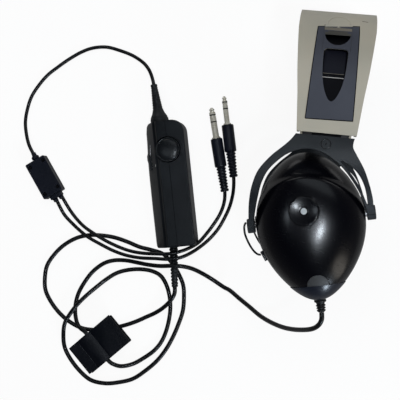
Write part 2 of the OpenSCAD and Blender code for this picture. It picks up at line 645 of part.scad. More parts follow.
route_plug_1 = [[-254.19, -84.09, 6.2], [-249.99, -89.29, 5.6], [-242.99, -97.79, 3.6], [-234.39, -105.59, 3.6],
    [-224.59, -111.79, 5.8], [-213.79, -116.39, 7.2], [-202.09, -120.89, 7.2], [-188.49, -124.79, 6.8],
    [-174.79, -127.09, 7.6], [-161.09, -126.99, 10.6], [-146.29, -124.89, 14], [-132.79, -122.29, 15.4],
    [-123.09, -118.69, 14], [-114.09, -113.59, 10.2], [-105.79, -106.49, 5.6], [-99.89, -96.89, 2.6],
    [-94.39, -86.19, 1.8], [-89.89, -75.39, 1.8], [-87.69, -66.09, 3], [-87.19, -58.29, 5], [-88.19, -50.89, 6]];

// ---- Splitter box ----

module in_splitter() { translate([-272.19, -68.49, 0]) rotate([0, 0, -48.8]) children(); }
module splitter_collars() {
    translate([-18.6, 0, 6.2]) rotate([0, -90, 0]) ribbed(10.4, 4, 2.8, 4);
    for (y = [-3.3, 3.3]) translate([18.6, y, 6.2]) rotate([0, 90, 0]) cylinder(h = 5, r = 2.6);
}
module splitter_half(z0, h) {
    difference() {
        translate([0, 0, z0]) rounded_plate(37.3, 22.2, h, 4);
        translate([0, 0, 6.2 - 4]) rounded_plate(31, 16, 8, 2);
        for (x = [-15, 15], y = [-7.4, 7.4]) translate([x, y, 3]) cylinder(h = 12, r = 1.3);
    }
}
module splitter_base() {
    in_splitter() color("black") union() {
        splitter_half(0, 6.2);
        intersection() {
            splitter_collars();
            translate([-40, -20, 0]) cube([80, 40, 6.2]);
        }
    }
}
module splitter_lid() {
    in_splitter() color("black") union() {
        splitter_half(6.2, 6.2);
        intersection() {
            splitter_collars();
            translate([-40, -20, 6.2]) cube([80, 40, 6.2]);
        }
    }
}
module splitter_screws() {
    in_splitter() color("silver") for (x = [-15, 15], y = [-7.4, 7.4]) translate([x, y, 3])
        cylinder(h = 9, r = 1.3);
}

// ---- Clothing clip ----

sleeve_x = -4.3;
sleeve_z = 10.9;
module in_clip() { translate([-186.69, -225.79, 0]) rotate([0, 0, 50.2]) children(); }
module across(l, r) { translate([sleeve_x, -l / 2, sleeve_z]) rotate([-90, 0, 0]) cylinder(h = l, r = r); }
module clip_base() {
    in_clip() color("black") difference() {
        union() {
            translate([0, 0, 4.6]) rounded_plate(54.6, 31, 2.2, 6);
            for (y = [-1, 1]) translate([sleeve_x - 3.6, y * 12.75 - 2.75, 5]) cube([7.2, 5.5, sleeve_z - 5]);
            across(36, 3.6);
        }
        across(60, cup_cord_r + 0.2);
        translate([sleeve_x - 8, -9.6, 4]) cube([16, 19.2, 3.2]);
    }
}
module clip_leaf() {
    in_clip() color("black") difference() {
        union() {
            translate([0, 0, 15]) rounded_plate(54.6, 31, 2.1, 6);
            across(18.4, 6.2);
            // Jaw
            translate([-26.5, -14, 7]) cube([2.4, 28, 9]);
        }
        across(60, 3.66);
        for (y = [-1, 1]) translate([0, y * 21, 0]) across(22.8, 4.3);
        // Finger grooves
        for (x = [14, 18, 22]) translate([x, -15, 16.5]) cube([1.4, 30, 2]);
    }
}

// ---- Plugs ----

// The relief's end, then the tip of the contacts
plug_1_line = [[-88.19, -50.89, 6], [-116.29, 29.71, 6]];
plug_2_line = [[-81.99, -34.99, 6], [-105.69, 43.21, 6]];
// Handle with its ribbed relief: relief, handle, and where the contacts begin
module plug_handle(relief, grip) {
    color("black") union() {
        translate([0, 0, relief]) mirror([0, 0, 1]) ribbed(relief, 5, 2.8, 8);
        translate([0, 0, relief]) cylinder(h = 2, r1 = 5, r2 = handle_r);
        translate([0, 0, relief + 2]) cylinder(h = grip - 3, r = handle_r);
        translate([0, 0, relief + grip - 1]) cylinder(h = 1, r1 = handle_r, r2 = handle_r - 1);
    }
}
// Contacts as one stack: collar, sleeve, ring, tip with its waist
module plug_contacts(start, length, r) {
    color("silver") translate([0, 0, start]) rotate_extrude() polygon([[0, 0], [r + 1.2, 0], [r + 1.2, 1.4],
        [r, 1.4], [r, length - 9], [r - 0.3, length - 8.6], [r - 0.3, length - 8.2], [r, length - 7.8],
        [r, length - 5], [r * 0.62, length - 3.6], [r * 0.9, length - 2.2], [r * 0.35, length],
        [0, length]]);
}
module plug_1_handle() { along(plug_1_line[0], plug_1_line[1]) plug_handle(25, 29); }
module plug_1_contacts() { along(plug_1_line[0], plug_1_line[1]) plug_contacts(54, 31.4, phone_r); }
module plug_2_handle() { along(plug_2_line[0], plug_2_line[1]) plug_handle(25.4, 27.6); }
module plug_2_contacts() { along(plug_2_line[0], plug_2_line[1]) plug_contacts(53, 28.8, mic_r); }

headband_cover();
headband_spring();
headband_liner();
headband_pad();
adjuster_plate(1);  // adjuster_plate_right
adjuster_plate(-1);  // adjuster_plate_left
yoke(1);  // yoke_right
slider(1);  // slider_right
pivot_pins(1);  // pivot_pins_right
yoke(-1);  // yoke_left
slider(-1);  // slider_left
pivot_pins(-1);  // pivot_pins_left
cup_shell(1);  // cup_shell_right
cup_baffle(1);  // cup_baffle_right
driver(1);  // driver_right
ear_seal(1);  // ear_seal_right
ear_screen(1);  // ear_screen_right
chin_cover(1);  // chin_cover_right
port_tab(1);  // port_tab_right
boom_cap();
cap_screw();
cup_strain_relief();
crossover_wire(1);  // crossover_wire_right
cup_shell(-1);  // cup_shell_left
cup_baffle(-1);  // cup_baffle_left
driver(-1);  // driver_left
ear_seal(-1);  // ear_seal_left
ear_screen(-1);  // ear_screen_left
chin_cover(-1);  // chin_cover_left
port_tab(-1);  // port_tab_left
crossover_wire(-1);  // crossover_wire_left
boom_hub();
boom_hub_screw();
boom_arm();
mic_body();
mic_muff();
module_front_shell();
module_back_shell();
circuit_board();
battery_cells();
indicator_lens();
module_reliefs();
power_switch();
volume_dial_upper();
volume_dial_lower();
battery_door();
color("black") cord(route_cup, cup_cord_r);  // cord_cup
color("black") cord(route_splitter, thin_cord_r);  // cord_splitter
color("black") cord(route_plug_1, thin_cord_r);  // cord_plug_1
color("black") cord(route_plug_2, thin_cord_r);  // cord_plug_2
splitter_lid();
splitter_base();
splitter_screws();
clip_base();
clip_leaf();
plug_1_contacts();
plug_1_handle();
plug_2_contacts();
plug_2_handle();
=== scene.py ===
import json
import math

import bmesh
import bpy
from mathutils import Matrix, Vector, noise


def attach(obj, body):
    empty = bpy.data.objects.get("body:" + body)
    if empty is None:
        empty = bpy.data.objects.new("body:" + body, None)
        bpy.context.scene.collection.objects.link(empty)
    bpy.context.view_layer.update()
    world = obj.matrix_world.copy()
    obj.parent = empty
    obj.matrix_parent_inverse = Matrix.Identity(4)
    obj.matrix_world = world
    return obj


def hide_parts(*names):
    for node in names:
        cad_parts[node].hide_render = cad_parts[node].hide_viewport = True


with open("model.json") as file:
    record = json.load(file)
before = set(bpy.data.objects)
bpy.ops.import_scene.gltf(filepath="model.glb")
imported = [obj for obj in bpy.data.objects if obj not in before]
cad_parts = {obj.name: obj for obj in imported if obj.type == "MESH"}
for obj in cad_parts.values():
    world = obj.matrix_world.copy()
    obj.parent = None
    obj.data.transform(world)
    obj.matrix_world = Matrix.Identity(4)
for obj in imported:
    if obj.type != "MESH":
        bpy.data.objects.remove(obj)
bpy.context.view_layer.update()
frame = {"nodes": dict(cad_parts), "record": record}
nodes = frame["nodes"]
slot_of = {part["node"]: part["material_slot"] for part in frame["record"]["subparts"]}
mm = 0.001


# ---- Camera ----

def point_camera(eye, target, picture_top, lens):
    sight = (Vector(target) - Vector(eye)).normalized()
    right = sight.cross(Vector(picture_top)).normalized()
    up = right.cross(sight)
    turn = Matrix((right, up, -sight)).transposed().to_4x4()
    data = bpy.data.cameras.new("table_camera")
    data.lens = lens
    data.sensor_width = 36
    data.clip_start = 0.02
    camera = bpy.data.objects.new("table_camera", data)
    camera.matrix_world = Matrix.Translation(eye) @ turn
    bpy.context.scene.collection.objects.link(camera)
    bpy.context.scene.camera = camera


point_camera((0.00098, -0.03859, 0.900), (-0.11228, -0.06383, 0), (-0.17454, 0.98465, 0), 80.353)

# ---- Finishes ----

def tone(red, green, blue):
    """A colour as seen on a screen, 0 to 255, in the linear numbers that a shader takes."""
    return tuple(c / 255 / 12.92 if c < 10.3 else ((c / 255 + 0.055) / 1.055) ** 2.4
                 for c in (red, green, blue))


class Field:
    """A number that varies over a surface. Arithmetic on it adds Math nodes."""

    def __init__(self, finish, socket):
        self.finish, self.socket = finish, socket

    def math(self, operation, *values):
        return self.finish.node("Math", {"operation": operation}, dict(enumerate(values)))

    def __add__(self, other):
        return self.math("ADD", self, other)

    def __sub__(self, other):
        return self.math("SUBTRACT", self, other)

    def __rsub__(self, other):
        return self.math("SUBTRACT", other, self)

    def __mul__(self, other):
        return self.math("MULTIPLY", self, other)

    __radd__, __rmul__ = __add__, __mul__

    def above(self, edge, width):
        """0 below the edge, 1 a width above it."""
        return self.finish.node("MapRange", {"clamp": True}, {
            "Value": self, "From Min": edge, "From Max": edge + width})

    def largest(self, other):
        return self.math("MAXIMUM", self, other)

    def sine(self):
        return self.math("SINE", self)


class Finish:
    """A surface finish: a Principled shader and the nodes that vary it."""

    def __init__(self, name, **fixed):
        self.material = bpy.data.materials.new(name)
        self.material.use_nodes = True
        self.tree = self.material.node_tree
        self.tree.nodes.clear()
        self.shader = self.tree.nodes.new("ShaderNodeBsdfPrincipled")
        self.out = self.tree.nodes.new("ShaderNodeOutputMaterial")
        self.tree.links.new(self.shader.outputs[0], self.out.inputs[0])
        self.set(**fixed)
        self.place = self.node("TexCoord", {}, {}, "Object")

    def set(self, **sockets):
        for key, value in sockets.items():
            self.join(value, self.shader.inputs[key.replace("_", " ")])

    def join(self, value, socket):
        if isinstance(value, Field):
            self.tree.links.new(value.socket, socket)
        elif hasattr(value, "__len__") and len(value) == 3 and len(socket.default_value) == 4:
            socket.default_value = (*value, 1)
        else:
            socket.default_value = value

    def node(self, kind, settings, sockets, output=0):
        made = self.tree.nodes.new("ShaderNode" + kind)
        for key, value in settings.items():
            setattr(made, key, value)
        for key, value in sockets.items():
            self.join(value, made.inputs[key])
        return Field(self, made.outputs[output])

    def stretched(self, x, y, z, turn=0):
        return self.node("Mapping", {}, {
            "Vector": self.place, "Scale": (x, y, z), "Rotation": (0, 0, math.radians(turn))})

    def cloud(self, scale, detail=3, at=None, roughness=0.5):
        return self.node("TexNoise", {}, {"Vector": at or self.place, "Scale": scale,
                         "Detail": detail, "Roughness": roughness}, "Fac")

    def cells(self, scale, feature="F1"):
        return self.node("TexVoronoi", {"feature": feature}, {
            "Vector": self.place, "Scale": scale, "Randomness": 1}, "Distance")

    def blend(self, share, first, second):
        return self.node("Mix", {"data_type": "RGBA"}, {0: share, 6: first, 7: second}, 2)

    def raise_by(self, height, depth):
        self.set(Normal=self.node("Bump", {}, {
            "Height": height, "Distance": depth, "Strength": 1.0}, "Normal"))

    def on(self, piece):
        if piece.material_slots:
            for one in piece.material_slots:
                one.material = self.material
        else:
            piece.data.materials.append(self.material)


def moulded(name, colour, other, rough, grain=0.00004, spark=900, **fixed):
    """Moulded plastic: fine spark-eroded grain, slow drift of colour, light scuffs."""
    made = Finish(name, **fixed)
    drift = made.cloud(28, 4)
    fine = made.cloud(spark, 2)
    scuff = made.cloud(70, 8, roughness=0.72).above(0.58, 0.12)
    made.set(Base_Color=made.blend((drift - 0.35) * 2.2 + scuff * 0.18, colour, other),
             Roughness=rough + (drift - 0.5) * 0.12 + scuff * 0.1 + (fine - 0.5) * 0.06)
    made.raise_by(fine + made.cells(spark * 1.6) * 0.6, grain)
    return made


def gloss(name, colour, other, rough, coat):
    """High-gloss shell: near mirror with a faint orange peel, dust and hairline wipe marks."""
    made = Finish(name, Coat_Roughness=0.16, Specular_IOR_Level=0.3)
    specks = made.cells(420)
    dust = specks.math("LESS_THAN", specks, 0.10) * made.cloud(60).above(0.52, 0.1)
    wipe = made.cloud(55, 6, made.stretched(1, 5, 1, 25), 0.65).above(0.55, 0.25)
    made.set(Base_Color=made.blend(made.cloud(18) * 0.5 + dust * 0.35, colour, other),
             Roughness=rough + wipe * 0.07 + dust * 0.25, Coat_Weight=coat - wipe * 0.12 - dust * 0.2)
    made.raise_by(made.cloud(160, 2) + made.cloud(45, 1) * 0.8, 0.00002)
    return made


def leatherette(name, colour, worn):
    """Soft black leatherette: pebble grain, creases, a sheen where it is handled."""
    made = Finish(name, Specular_IOR_Level=0.4, Sheen_Weight=0.12, Sheen_Roughness=0.5)
    pebble = made.cells(1100, "DISTANCE_TO_EDGE").above(0.0, 0.16)
    crease = made.cloud(90, 6, made.stretched(1, 1, 2.2), 0.7)
    rub = made.cloud(34, 3).above(0.5, 0.2)
    made.set(Base_Color=made.blend(rub * 0.6 + (1 - pebble) * 0.3, colour, worn),
             Roughness=0.5 - rub * 0.1 + (1 - pebble) * 0.12 + (crease - 0.5) * 0.12)
    made.raise_by(pebble * 0.5 + crease * 1.4, 0.00022)
    return made


def woven(name, colour, other, pitch):
    """Thin woven cloth: crossing yarns with open corners."""
    made = Finish(name, Sheen_Weight=0.3, Sheen_Roughness=0.6)
    warp, weft = ((made.node("SeparateXYZ", {}, {0: made.place}, way) * (math.tau / pitch)).sine()
                  for way in (0, 1))
    yarn = (warp * weft) * 0.5 + 0.5
    fuzz = made.cloud(700, 4)
    made.set(Base_Color=made.blend(yarn * 0.7 + fuzz * 0.4, colour, other), Roughness=0.78 + yarn * 0.12)
    made.raise_by(yarn + fuzz * 0.6, 0.0002)
    return made


def foam(name, colour, other):
    """Open-cell foam: pits between soft walls, with painted shade darkening the pits."""
    made = Finish(name, Sheen_Weight=0.35, Sheen_Roughness=0.7)
    pit_and_shade = made.cells(1500).above(0.2, 0.4)
    lump = made.cloud(320, 4)
    # Painted shade: the pits take the darker colour.
    made.set(Base_Color=made.blend(pit_and_shade * 0.55 + lump * 0.45, other, colour), Roughness=0.86 + pit_and_shade * 0.1)
    made.raise_by(lump * 1.3 - pit_and_shade, 0.0006)
    return made


def rubber(name, colour, other, rough, marks=260):
    """Cord jacket and strain reliefs: extrusion drag marks, dusty bloom."""
    made = Finish(name, Specular_IOR_Level=0.42)
    bloom = made.cloud(60, 5, roughness=0.65).above(0.48, 0.3)
    drag = made.cloud(marks, 3)
    made.set(Base_Color=made.blend(bloom * 0.55 + (drag - 0.5) * 0.3, colour, other),
             Roughness=rough + bloom * 0.16 + (drag - 0.5) * 0.1)
    made.raise_by(drag + made.cloud(1200, 2) * 0.5, 0.00006)
    return made


def metal(name, colour, other, rough, **fixed):
    """Turned or drawn metal: fine tool lines, fingerprints and slight tarnish."""
    made = Finish(name, **fixed)
    lines = made.cloud(500, 2, made.stretched(1, 1, 6))
    print_ = made.cloud(150, 5, roughness=0.7).above(0.5, 0.2)
    made.set(Base_Color=made.blend(print_ * 0.6, colour, other),
             Roughness=rough + lines * 0.08 + print_ * 0.12)
    made.raise_by(lines, 0.00002)
    return made


finish = {
    "cup_gloss": gloss("cup_gloss_black", tone(1, 1, 4), tone(8, 9, 13), 0.25, 0.3),
    "chin_gloss": gloss("chin_gloss_black", tone(14, 18, 28), tone(26, 31, 42), 0.32, 0.25),
    "tab_grey": moulded("port_tab_grey", tone(42, 44, 46), tone(56, 56, 55), 0.5),
    "baffle_black": moulded("baffle_matt_black", (0.014, 0.014, 0.015), (0.03, 0.03, 0.032), 0.7),
    "driver_grey": moulded("driver_frame_grey", (0.09, 0.09, 0.095), (0.14, 0.14, 0.14), 0.5),
    "seal_leather": leatherette("ear_seal_leatherette", (0.012, 0.012, 0.013), (0.032, 0.031, 0.031)),
    "screen_cloth": woven("ear_screen_cloth", (0.014, 0.014, 0.016), (0.05, 0.05, 0.054), 0.0011),
    "cover_silver": moulded("cover_warm_silver", tone(153, 150, 137), tone(163, 156, 141), 0.45,
                            0.00003, 1400, Metallic=0.08, Coat_Weight=0.1, Coat_Roughness=0.35),
    "plate_slate": moulded("adjuster_plate_slate", tone(50, 53, 62), tone(60, 63, 72), 0.52,
                           Specular_IOR_Level=0.35),
    "yoke_black": moulded("yoke_satin_black", tone(16, 20, 24), tone(38, 42, 45), 0.42,
                          Specular_IOR_Level=0.35),
    # Painted shade: the slider is near-black and almost without sheen, standing for the shade it lies in
    # inside the window.
    "slider_black": moulded("slider_black_painted_shade", tone(2, 2, 5), tone(8, 8, 12), 0.55,
                            Specular_IOR_Level=0.12),
    "steel": metal("drawn_steel", (0.56, 0.56, 0.57), (0.42, 0.41, 0.4), 0.24, Metallic=0.8),
    "screw_grey": metal("screw_bright_zinc", tone(172, 178, 180), tone(150, 155, 158), 0.32, Metallic=0.35),
    "liner_black": moulded("liner_matt_black", (0.016, 0.016, 0.018), (0.034, 0.034, 0.036), 0.62),
    "pad_leather": leatherette("crown_pad_leatherette", (0.011, 0.011, 0.012), (0.03, 0.029, 0.029)),
    "cord_rubber": rubber("cord_jacket_black", tone(8, 9, 11), tone(24, 26, 29), 0.3),
    "relief_rubber": rubber("relief_soft_black", tone(14, 16, 18), tone(30, 32, 35), 0.45, 400),
    "module_black": moulded("module_satin_black", tone(6, 9, 13), tone(19, 23, 27), 0.44,
                            Specular_IOR_Level=0.3),
    "board_green": moulded("board_solder_mask", (0.016, 0.1, 0.045), (0.03, 0.15, 0.07), 0.35),
    "dial_black": moulded("dial_knurled_black", tone(10, 13, 16), tone(22, 25, 28), 0.3),
    "lens_clear": moulded("lens_milky", (0.62, 0.62, 0.6), (0.75, 0.75, 0.72), 0.2,
                          Transmission_Weight=0.25),
    "contact_metal": metal("contact_nickel", tone(205, 202, 190), tone(160, 152, 130), 0.16, Metallic=0.45),
    "plug_black": moulded("plug_semi_gloss_black", tone(7, 10, 17), tone(18, 21, 32), 0.36,
                          Specular_IOR_Level=0.4),
    "mic_foam": foam("mic_foam_black", (0.008, 0.008, 0.009), (0.035, 0.035, 0.037)),
}


# ---- Places on the object, in mm ----

def placed(origin, turn, side=1):
    """Turns a point of a piece's own axes, in mm, into a point of the whole part, in metres."""
    c, s = math.cos(math.radians(turn)), math.sin(math.radians(turn))
    return lambda p: Vector((origin[0] + c * p[0] - s * p[1], origin[1] + s * p[0] + c * p[1],
                             origin[2] + side * p[2])) * mm


headset_at = (-0.64, -64.62, 84)
rest_turn = math.radians(4)
band_at = (headset_at[0] + 2 + 75 * math.sin(rest_turn), headset_at[1] + 77 - 75 * math.cos(rest_turn), 84)
on_band = {side: placed(band_at, 4, side) for side in (1, -1)}
on_cup = {side: placed(headset_at, 16.7, side) for side in (1, -1)}
side_name = {1: "right", -1: "left"}
in_module = placed((-145.29, -114.39, 0), 16)
arch_y, arch_flat, arch_r = 117, 14, 69


def on_arch(x, y, lift):
    """A point of the band over its outer face, which runs straight and then round the arch."""
    if y <= arch_y:
        return x, y, arch_flat + arch_r + lift
    lean = math.asin(min((y - arch_y) / arch_r, 1))
    return (x, arch_y + (arch_r + lift) * math.sin(lean), arch_flat + (arch_r + lift) * math.cos(lean))


def eased(points, steps):
    """A smooth open curve through the points."""
    pts = [Vector(p) for p in points]
    out = []
    for i in range(len(pts) - 1):
        a, b, c, d = pts[max(i - 1, 0)], pts[i], pts[i + 1], pts[min(i + 2, len(pts) - 1)]
        for k in range(steps):
            t = k / steps
            out.append(0.5 * (2 * b + (c - a) * t + (2 * a - 5 * b + 4 * c - d) * t * t
                              + (3 * b - a - 3 * c + d) * t ** 3))
    return out + [pts[-1]]


# ---- Making pieces ----

def made_of(name, points, faces):
    data = bpy.data.meshes.new(name)
    data.from_pydata([tuple(p) for p in points], [], faces)
    shape = bmesh.new()
    shape.from_mesh(data)
    bmesh.ops.recalc_face_normals(shape, faces=shape.faces)
    shape.to_mesh(data)
    shape.free()
    made = bpy.data.objects.new(name, data)
    bpy.context.scene.collection.objects.link(made)
    return made


def skinned(name, rings, place, closed=False):
    """A skin over rings of equal count, capped at both ends or running back to the first."""
    n, m = len(rings[0]), len(rings)
    faces = [(r * n + k, r * n + (k + 1) % n, (r + 1) % m * n + (k + 1) % n, (r + 1) % m * n + k)
             for r in range(m if closed else m - 1) for k in range(n)]
    if not closed:
        faces += [tuple(range(n)), tuple(range((m - 1) * n, m * n))]
    return made_of(name, [place(p) for ring in rings for p in ring], faces)


def turned(name, profile, foot, toward, place, around=72, wave=None):
    """A lathe piece: profile of (radius, height) from the foot, which points toward the second point."""
    foot, axis = Vector(foot), (Vector(toward) - Vector(foot)).normalized()
    side = axis.orthogonal().normalized()
    other = axis.cross(side)
    rings = [[foot + axis * h + (side * math.cos(a) + other * math.sin(a)) * max(r, 0.01)
              * (wave(a, r, h) if wave else 1) for a in [math.tau * i / around for i in range(around)]]
             for r, h in profile]
    return skinned(name, rings, place)


def slab(name, outline, low, high, place):
    """An upright prism over an outline."""
    return skinned(name, [[(x, y, z) for x, y in outline] for z in (low, high)], place)


def box(name, low, high, place):
    return slab(name, [(low[0], low[1]), (high[0], low[1]), (high[0], high[1]), (low[0], high[1])],
                low[2], high[2], place)


def ribs(from_h, to_h, from_r, to_r, count, depth):
    """Profile of a ribbed sleeve: round-topped ribs with a groove between each two."""
    step = (to_h - from_h) / count
    profile = []
    for i in range(count):
        r, h = from_r + (to_r - from_r) * (i + 0.5) / count, from_h + step * i
        profile += [(r - depth, h + step * 0.06), (r - 0.25, h + step * 0.22), (r, h + step * 0.34),
                    (r, h + step * 0.66), (r - 0.25, h + step * 0.78), (r - depth, h + step * 0.94)]
    return profile


def arch_strip(left, right, low_y, high_y, low, high, crown):
    """Rings of a strip that follows the arch. left and right are its edges, crown its rise between them."""
    steps, across = 16, 6
    rings = []
    for i in range(steps + 1):
        y = low_y + (high_y - low_y) * i / steps
        top = [on_arch(left + (right - left) * k / across, y, high + crown * (1 - (2 * k / across - 1) ** 2))
               for k in range(across + 1)]
        rings.append(top + [on_arch(right, y, low), on_arch(left, y, low)])
    return rings


def applied(piece):
    """The piece's mesh with its modifiers in it."""
    graph = bpy.context.evaluated_depsgraph_get()
    data = bpy.data.meshes.new_from_object(piece.evaluated_get(graph))
    piece.modifiers.clear()
    piece.data = data
    return piece


def shaped_by(piece, tool, operation="DIFFERENCE"):
    """Cuts the piece with a tool piece, or keeps what both share, and puts the tool away."""
    for one in (piece, tool):
        one.data.transform(Matrix.Scale(1000, 4))
    cut = piece.modifiers.new("cut", "BOOLEAN")
    cut.operation, cut.solver, cut.object = operation, "EXACT", tool
    applied(piece)
    piece.data.transform(Matrix.Scale(mm, 4))
    bpy.data.objects.remove(tool)
    return piece


def rounded(piece, width, segments=2, angle=35):
    edge = piece.modifiers.new("edges", "BEVEL")
    edge.width, edge.segments, edge.limit_method = width * mm, segments, "ANGLE"
    edge.angle_limit, edge.miter_outer = math.radians(angle), "MITER_ARC"
    return piece


def smooth(piece):
    piece.data.polygons.foreach_set("use_smooth", [True] * len(piece.data.polygons))
    even = piece.modifiers.new("even", "WEIGHTED_NORMAL")
    even.keep_sharp = True
    return piece


def fitted(piece, body, slot, *stands_for, look=None):
    """Gives a piece its finish, its body and the nodes that it stands for."""
    (look or finish[slot]).on(piece)
    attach(piece, body)
    if stands_for:
        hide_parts(*stands_for)
    if piece.type == "MESH":
        smooth(piece)
    return piece


def tube(name, points, radius, body, slot, *stands_for, look=None, sides=5):
    """A round wire through points, given in metres, with its radius in mm."""
    data = bpy.data.curves.new(name, "CURVE")
    data.dimensions = "3D"
    data.bevel_depth, data.bevel_resolution, data.use_fill_caps = radius * mm, sides, True
    line = data.splines.new("POLY")
    line.points.add(len(points) - 1)
    for spot, point in zip(line.points, points):
        spot.co = (*point, 1)
    line.use_smooth = True
    made = bpy.data.objects.new(name, data)
    bpy.context.scene.collection.objects.link(made)
    return fitted(made, body, slot, *stands_for, look=look)


# ---- Cords ----

route_cup = [
    (24.11, -136.59, 131), (24.51, -138.19, 131), (25.11, -142.39, 130.4), (24.01, -146.89, 128.7),
    (21.31, -150.79, 125.6), (17.21, -153.89, 121), (11.31, -156.89, 112.3), (3.61, -159.99, 99.6),
    (-5.79, -162.39, 84), (-17.19, -162.99, 66), (-29.49, -161.39, 48), (-42.69, -156.79, 31),
    (-54.39, -152.49, 18), (-65.39, -147.59, 9.5), (-72.99, -145.79, 4.6), (-84.19, -140.99, 4.4),
    (-95.29, -136.49, 6.8), (-106.29, -132.99, 11), (-116.29, -132.09, 14.8), (-126.49, -133.29, 16),
    (-139.09, -136.09, 13), (-151.79, -137.49, 9), (-163.49, -137.79, 5.5), (-176.19, -138.09, 3),
    (-188.79, -140.39, 2.2), (-199.29, -145.79, 2.2), (-208.69, -155.79, 2.2), (-214.99, -167.29, 2.2),
    (-219.29, -178.89, 2.2), (-220.79, -189.29, 2.2), (-219.99, -198.59, 2.8), (-217.59, -205.69, 4.6),
    (-214.09, -211.19, 7.2), (-209.69, -214.39, 9.8), (-203.09, -217.69, 10.9), (-189.49, -229.09, 10.9),
    (-175.79, -240.49, 10.9), (-168.89, -243.89, 10.2), (-160.79, -244.69, 7.4), (-150.69, -240.89, 4),
    (-141.49, -233.59, 2.4), (-132.19, -224.09, 2.2), (-126.09, -213.59, 2.2), (-122.99, -201.19, 2.2),
    (-122.09, -187.79, 2.2), (-123.09, -175.59, 2.2), (-126.29, -164.29, 2.2), (-131.49, -154.19, 2.2),
    (-138.79, -146.69, 2.2), (-149.09, -143.79, 2.2), (-161.59, -144.49, 2.2), (-174.09, -147.89, 2.2),
    (-184.49, -153.19, 2.2), (-193.89, -161.69, 3.2), (-202.09, -171.09, 5.8), (-209.39, -179.99, 7.8),
    (-216.69, -190.09, 8.2), (-223.09, -201.69, 7.8), (-227.39, -213.29, 7.2), (-227.49, -225.89, 4.2),
    (-224.49, -238.39, 2.2), (-215.99, -249.59, 2.2), (-204.29, -259.59, 2.2), (-191.59, -266.39, 2.2),
    (-176.89, -266.89, 2.2), (-163.29, -263.29, 2.2), (-148.69, -256.59, 2.2), (-137.29, -245.89, 2.2),
    (-126.99, -233.19, 2.2), (-119.79, -219.59, 2.2), (-114.79, -205.09, 2.2), (-111.69, -191.69, 2.2),
    (-109.69, -178.29, 2.2), (-110.79, -164.99, 2.2), (-113.99, -151.79, 2.2), (-121.19, -140.69, 2.2),
    (-129.49, -131.59, 2.2), (-139.89, -124.59, 2.2), (-152.29, -122.79, 2.2), (-164.79, -121.99, 2.2),
    (-178.39, -119.09, 2.2), (-191.99, -117.19, 2.2), (-205.59, -117.49, 2.2), (-219.29, -119.69, 2.2),
    (-231.99, -125.09, 2.2), (-243.69, -134.69, 2.2), (-252.19, -146.29, 2.2), (-257.59, -158.89, 2.2),
    (-257.59, -172.49, 2.2), (-254.39, -184.89, 2.2), (-245.79, -196.19, 2.2), (-235.09, -205.29, 2.2),
    (-223.39, -211.69, 2.2), (-209.69, -215.49, 2.2), (-195.99, -214.59, 2.2), (-183.29, -211.09, 2.2),
    (-169.69, -205.59, 2.2), (-157.19, -198.99, 2.2), (-145.79, -191.29, 2.4), (-136.39, -184.59, 3.4),
    (-128.39, -176.69, 5.6), (-122.69, -168.29, 7.8), (-120.29, -160.99, 8.8), (-121.09, -154.69, 9)]
route_splitter = [
    (-177.99, 43.21, 9), (-181.19, 50.41, 8.6), (-186.39, 57.91, 6.6), (-194.29, 64.31, 3.6),
    (-206.69, 69.71, 1.9), (-220.59, 72.61, 1.8), (-234.39, 73.91, 1.8), (-248.09, 71.01, 1.8),
    (-259.79, 64.91, 1.8), (-271.49, 55.71, 1.8), (-282.19, 45.51, 1.8), (-291.79, 35.21, 1.8),
    (-299.39, 22.81, 1.8), (-304.69, 10.31, 1.8), (-306.69, -3.39, 1.8), (-306.39, -15.99, 2),
    (-302.89, -27.59, 3.4), (-297.59, -38.19, 5.6), (-291.29, -46.69, 6.2)]
route_plug_1 = [
    (-254.19, -84.09, 6.2), (-249.99, -89.29, 5.6), (-242.99, -97.79, 3.6), (-234.39, -105.59, 3.6),
    (-224.59, -111.79, 5.8), (-213.79, -116.39, 7.2), (-202.09, -120.89, 7.2), (-188.49, -124.79, 6.8),
    (-174.79, -127.09, 7.6), (-161.09, -126.99, 10.6), (-146.29, -124.89, 14), (-132.79, -122.29, 15.4),
    (-123.09, -118.69, 14), (-114.09, -113.59, 10.2), (-105.79, -106.49, 5.6), (-99.89, -96.89, 2.6),
    (-94.39, -86.19, 1.8), (-89.89, -75.39, 1.8), (-87.69, -66.09, 3), (-87.19, -58.29, 5),
    (-88.19, -50.89, 6)]
route_plug_2 = [
    (-259.09, -88.39, 6.2), (-255.29, -93.99, 5.6), (-248.09, -103.49, 3.6), (-238.49, -110.79, 3.2),
    (-227.69, -116.99, 5.6), (-217.99, -121.59, 7.2), (-206.29, -125.59, 7.2), (-191.59, -129.99, 6.8),
    (-176.89, -132.29, 7.6), (-161.09, -131.99, 10.6), (-145.29, -129.49, 14), (-131.19, -127.49, 15.4),
    (-119.49, -123.49, 14), (-110.49, -117.29, 10.2), (-102.69, -109.69, 5.6), (-95.29, -100.49, 2.6),
    (-88.69, -89.19, 1.8), (-84.19, -76.89, 1.8), (-81.09, -64.59, 2.2), (-79.99, -52.29, 3.8),
    (-80.59, -42.49, 5.6), (-81.99, -34.99, 6)]


cord_routes = {"main_cord": (route_cup, 2.15, "cord_cup"),
               "splitter_cord": (route_splitter, 1.8, "cord_splitter"),
               "headphone_cord": (route_plug_1, 1.8, "cord_plug_1"),
               "microphone_cord": (route_plug_2, 1.8, "cord_plug_2")}
cords = {}
for name, (route, radius, node) in cord_routes.items():
    line = [p * mm for p in eased(route, 5)]
    cords[name] = tube(name, line, radius, "cup_right", "cord_rubber", node, sides=7), line, radius


def declare_cord(name, far_end, *carried):
    """Works out how long and thick a cord is. Where it ends and which pieces go with it are not used."""
    made, line, radius = cords[name]
    length = sum((b - a).length for a, b in zip(line, line[1:]))
    2 * radius * mm


# ---- Edges and finishes of the solids ----

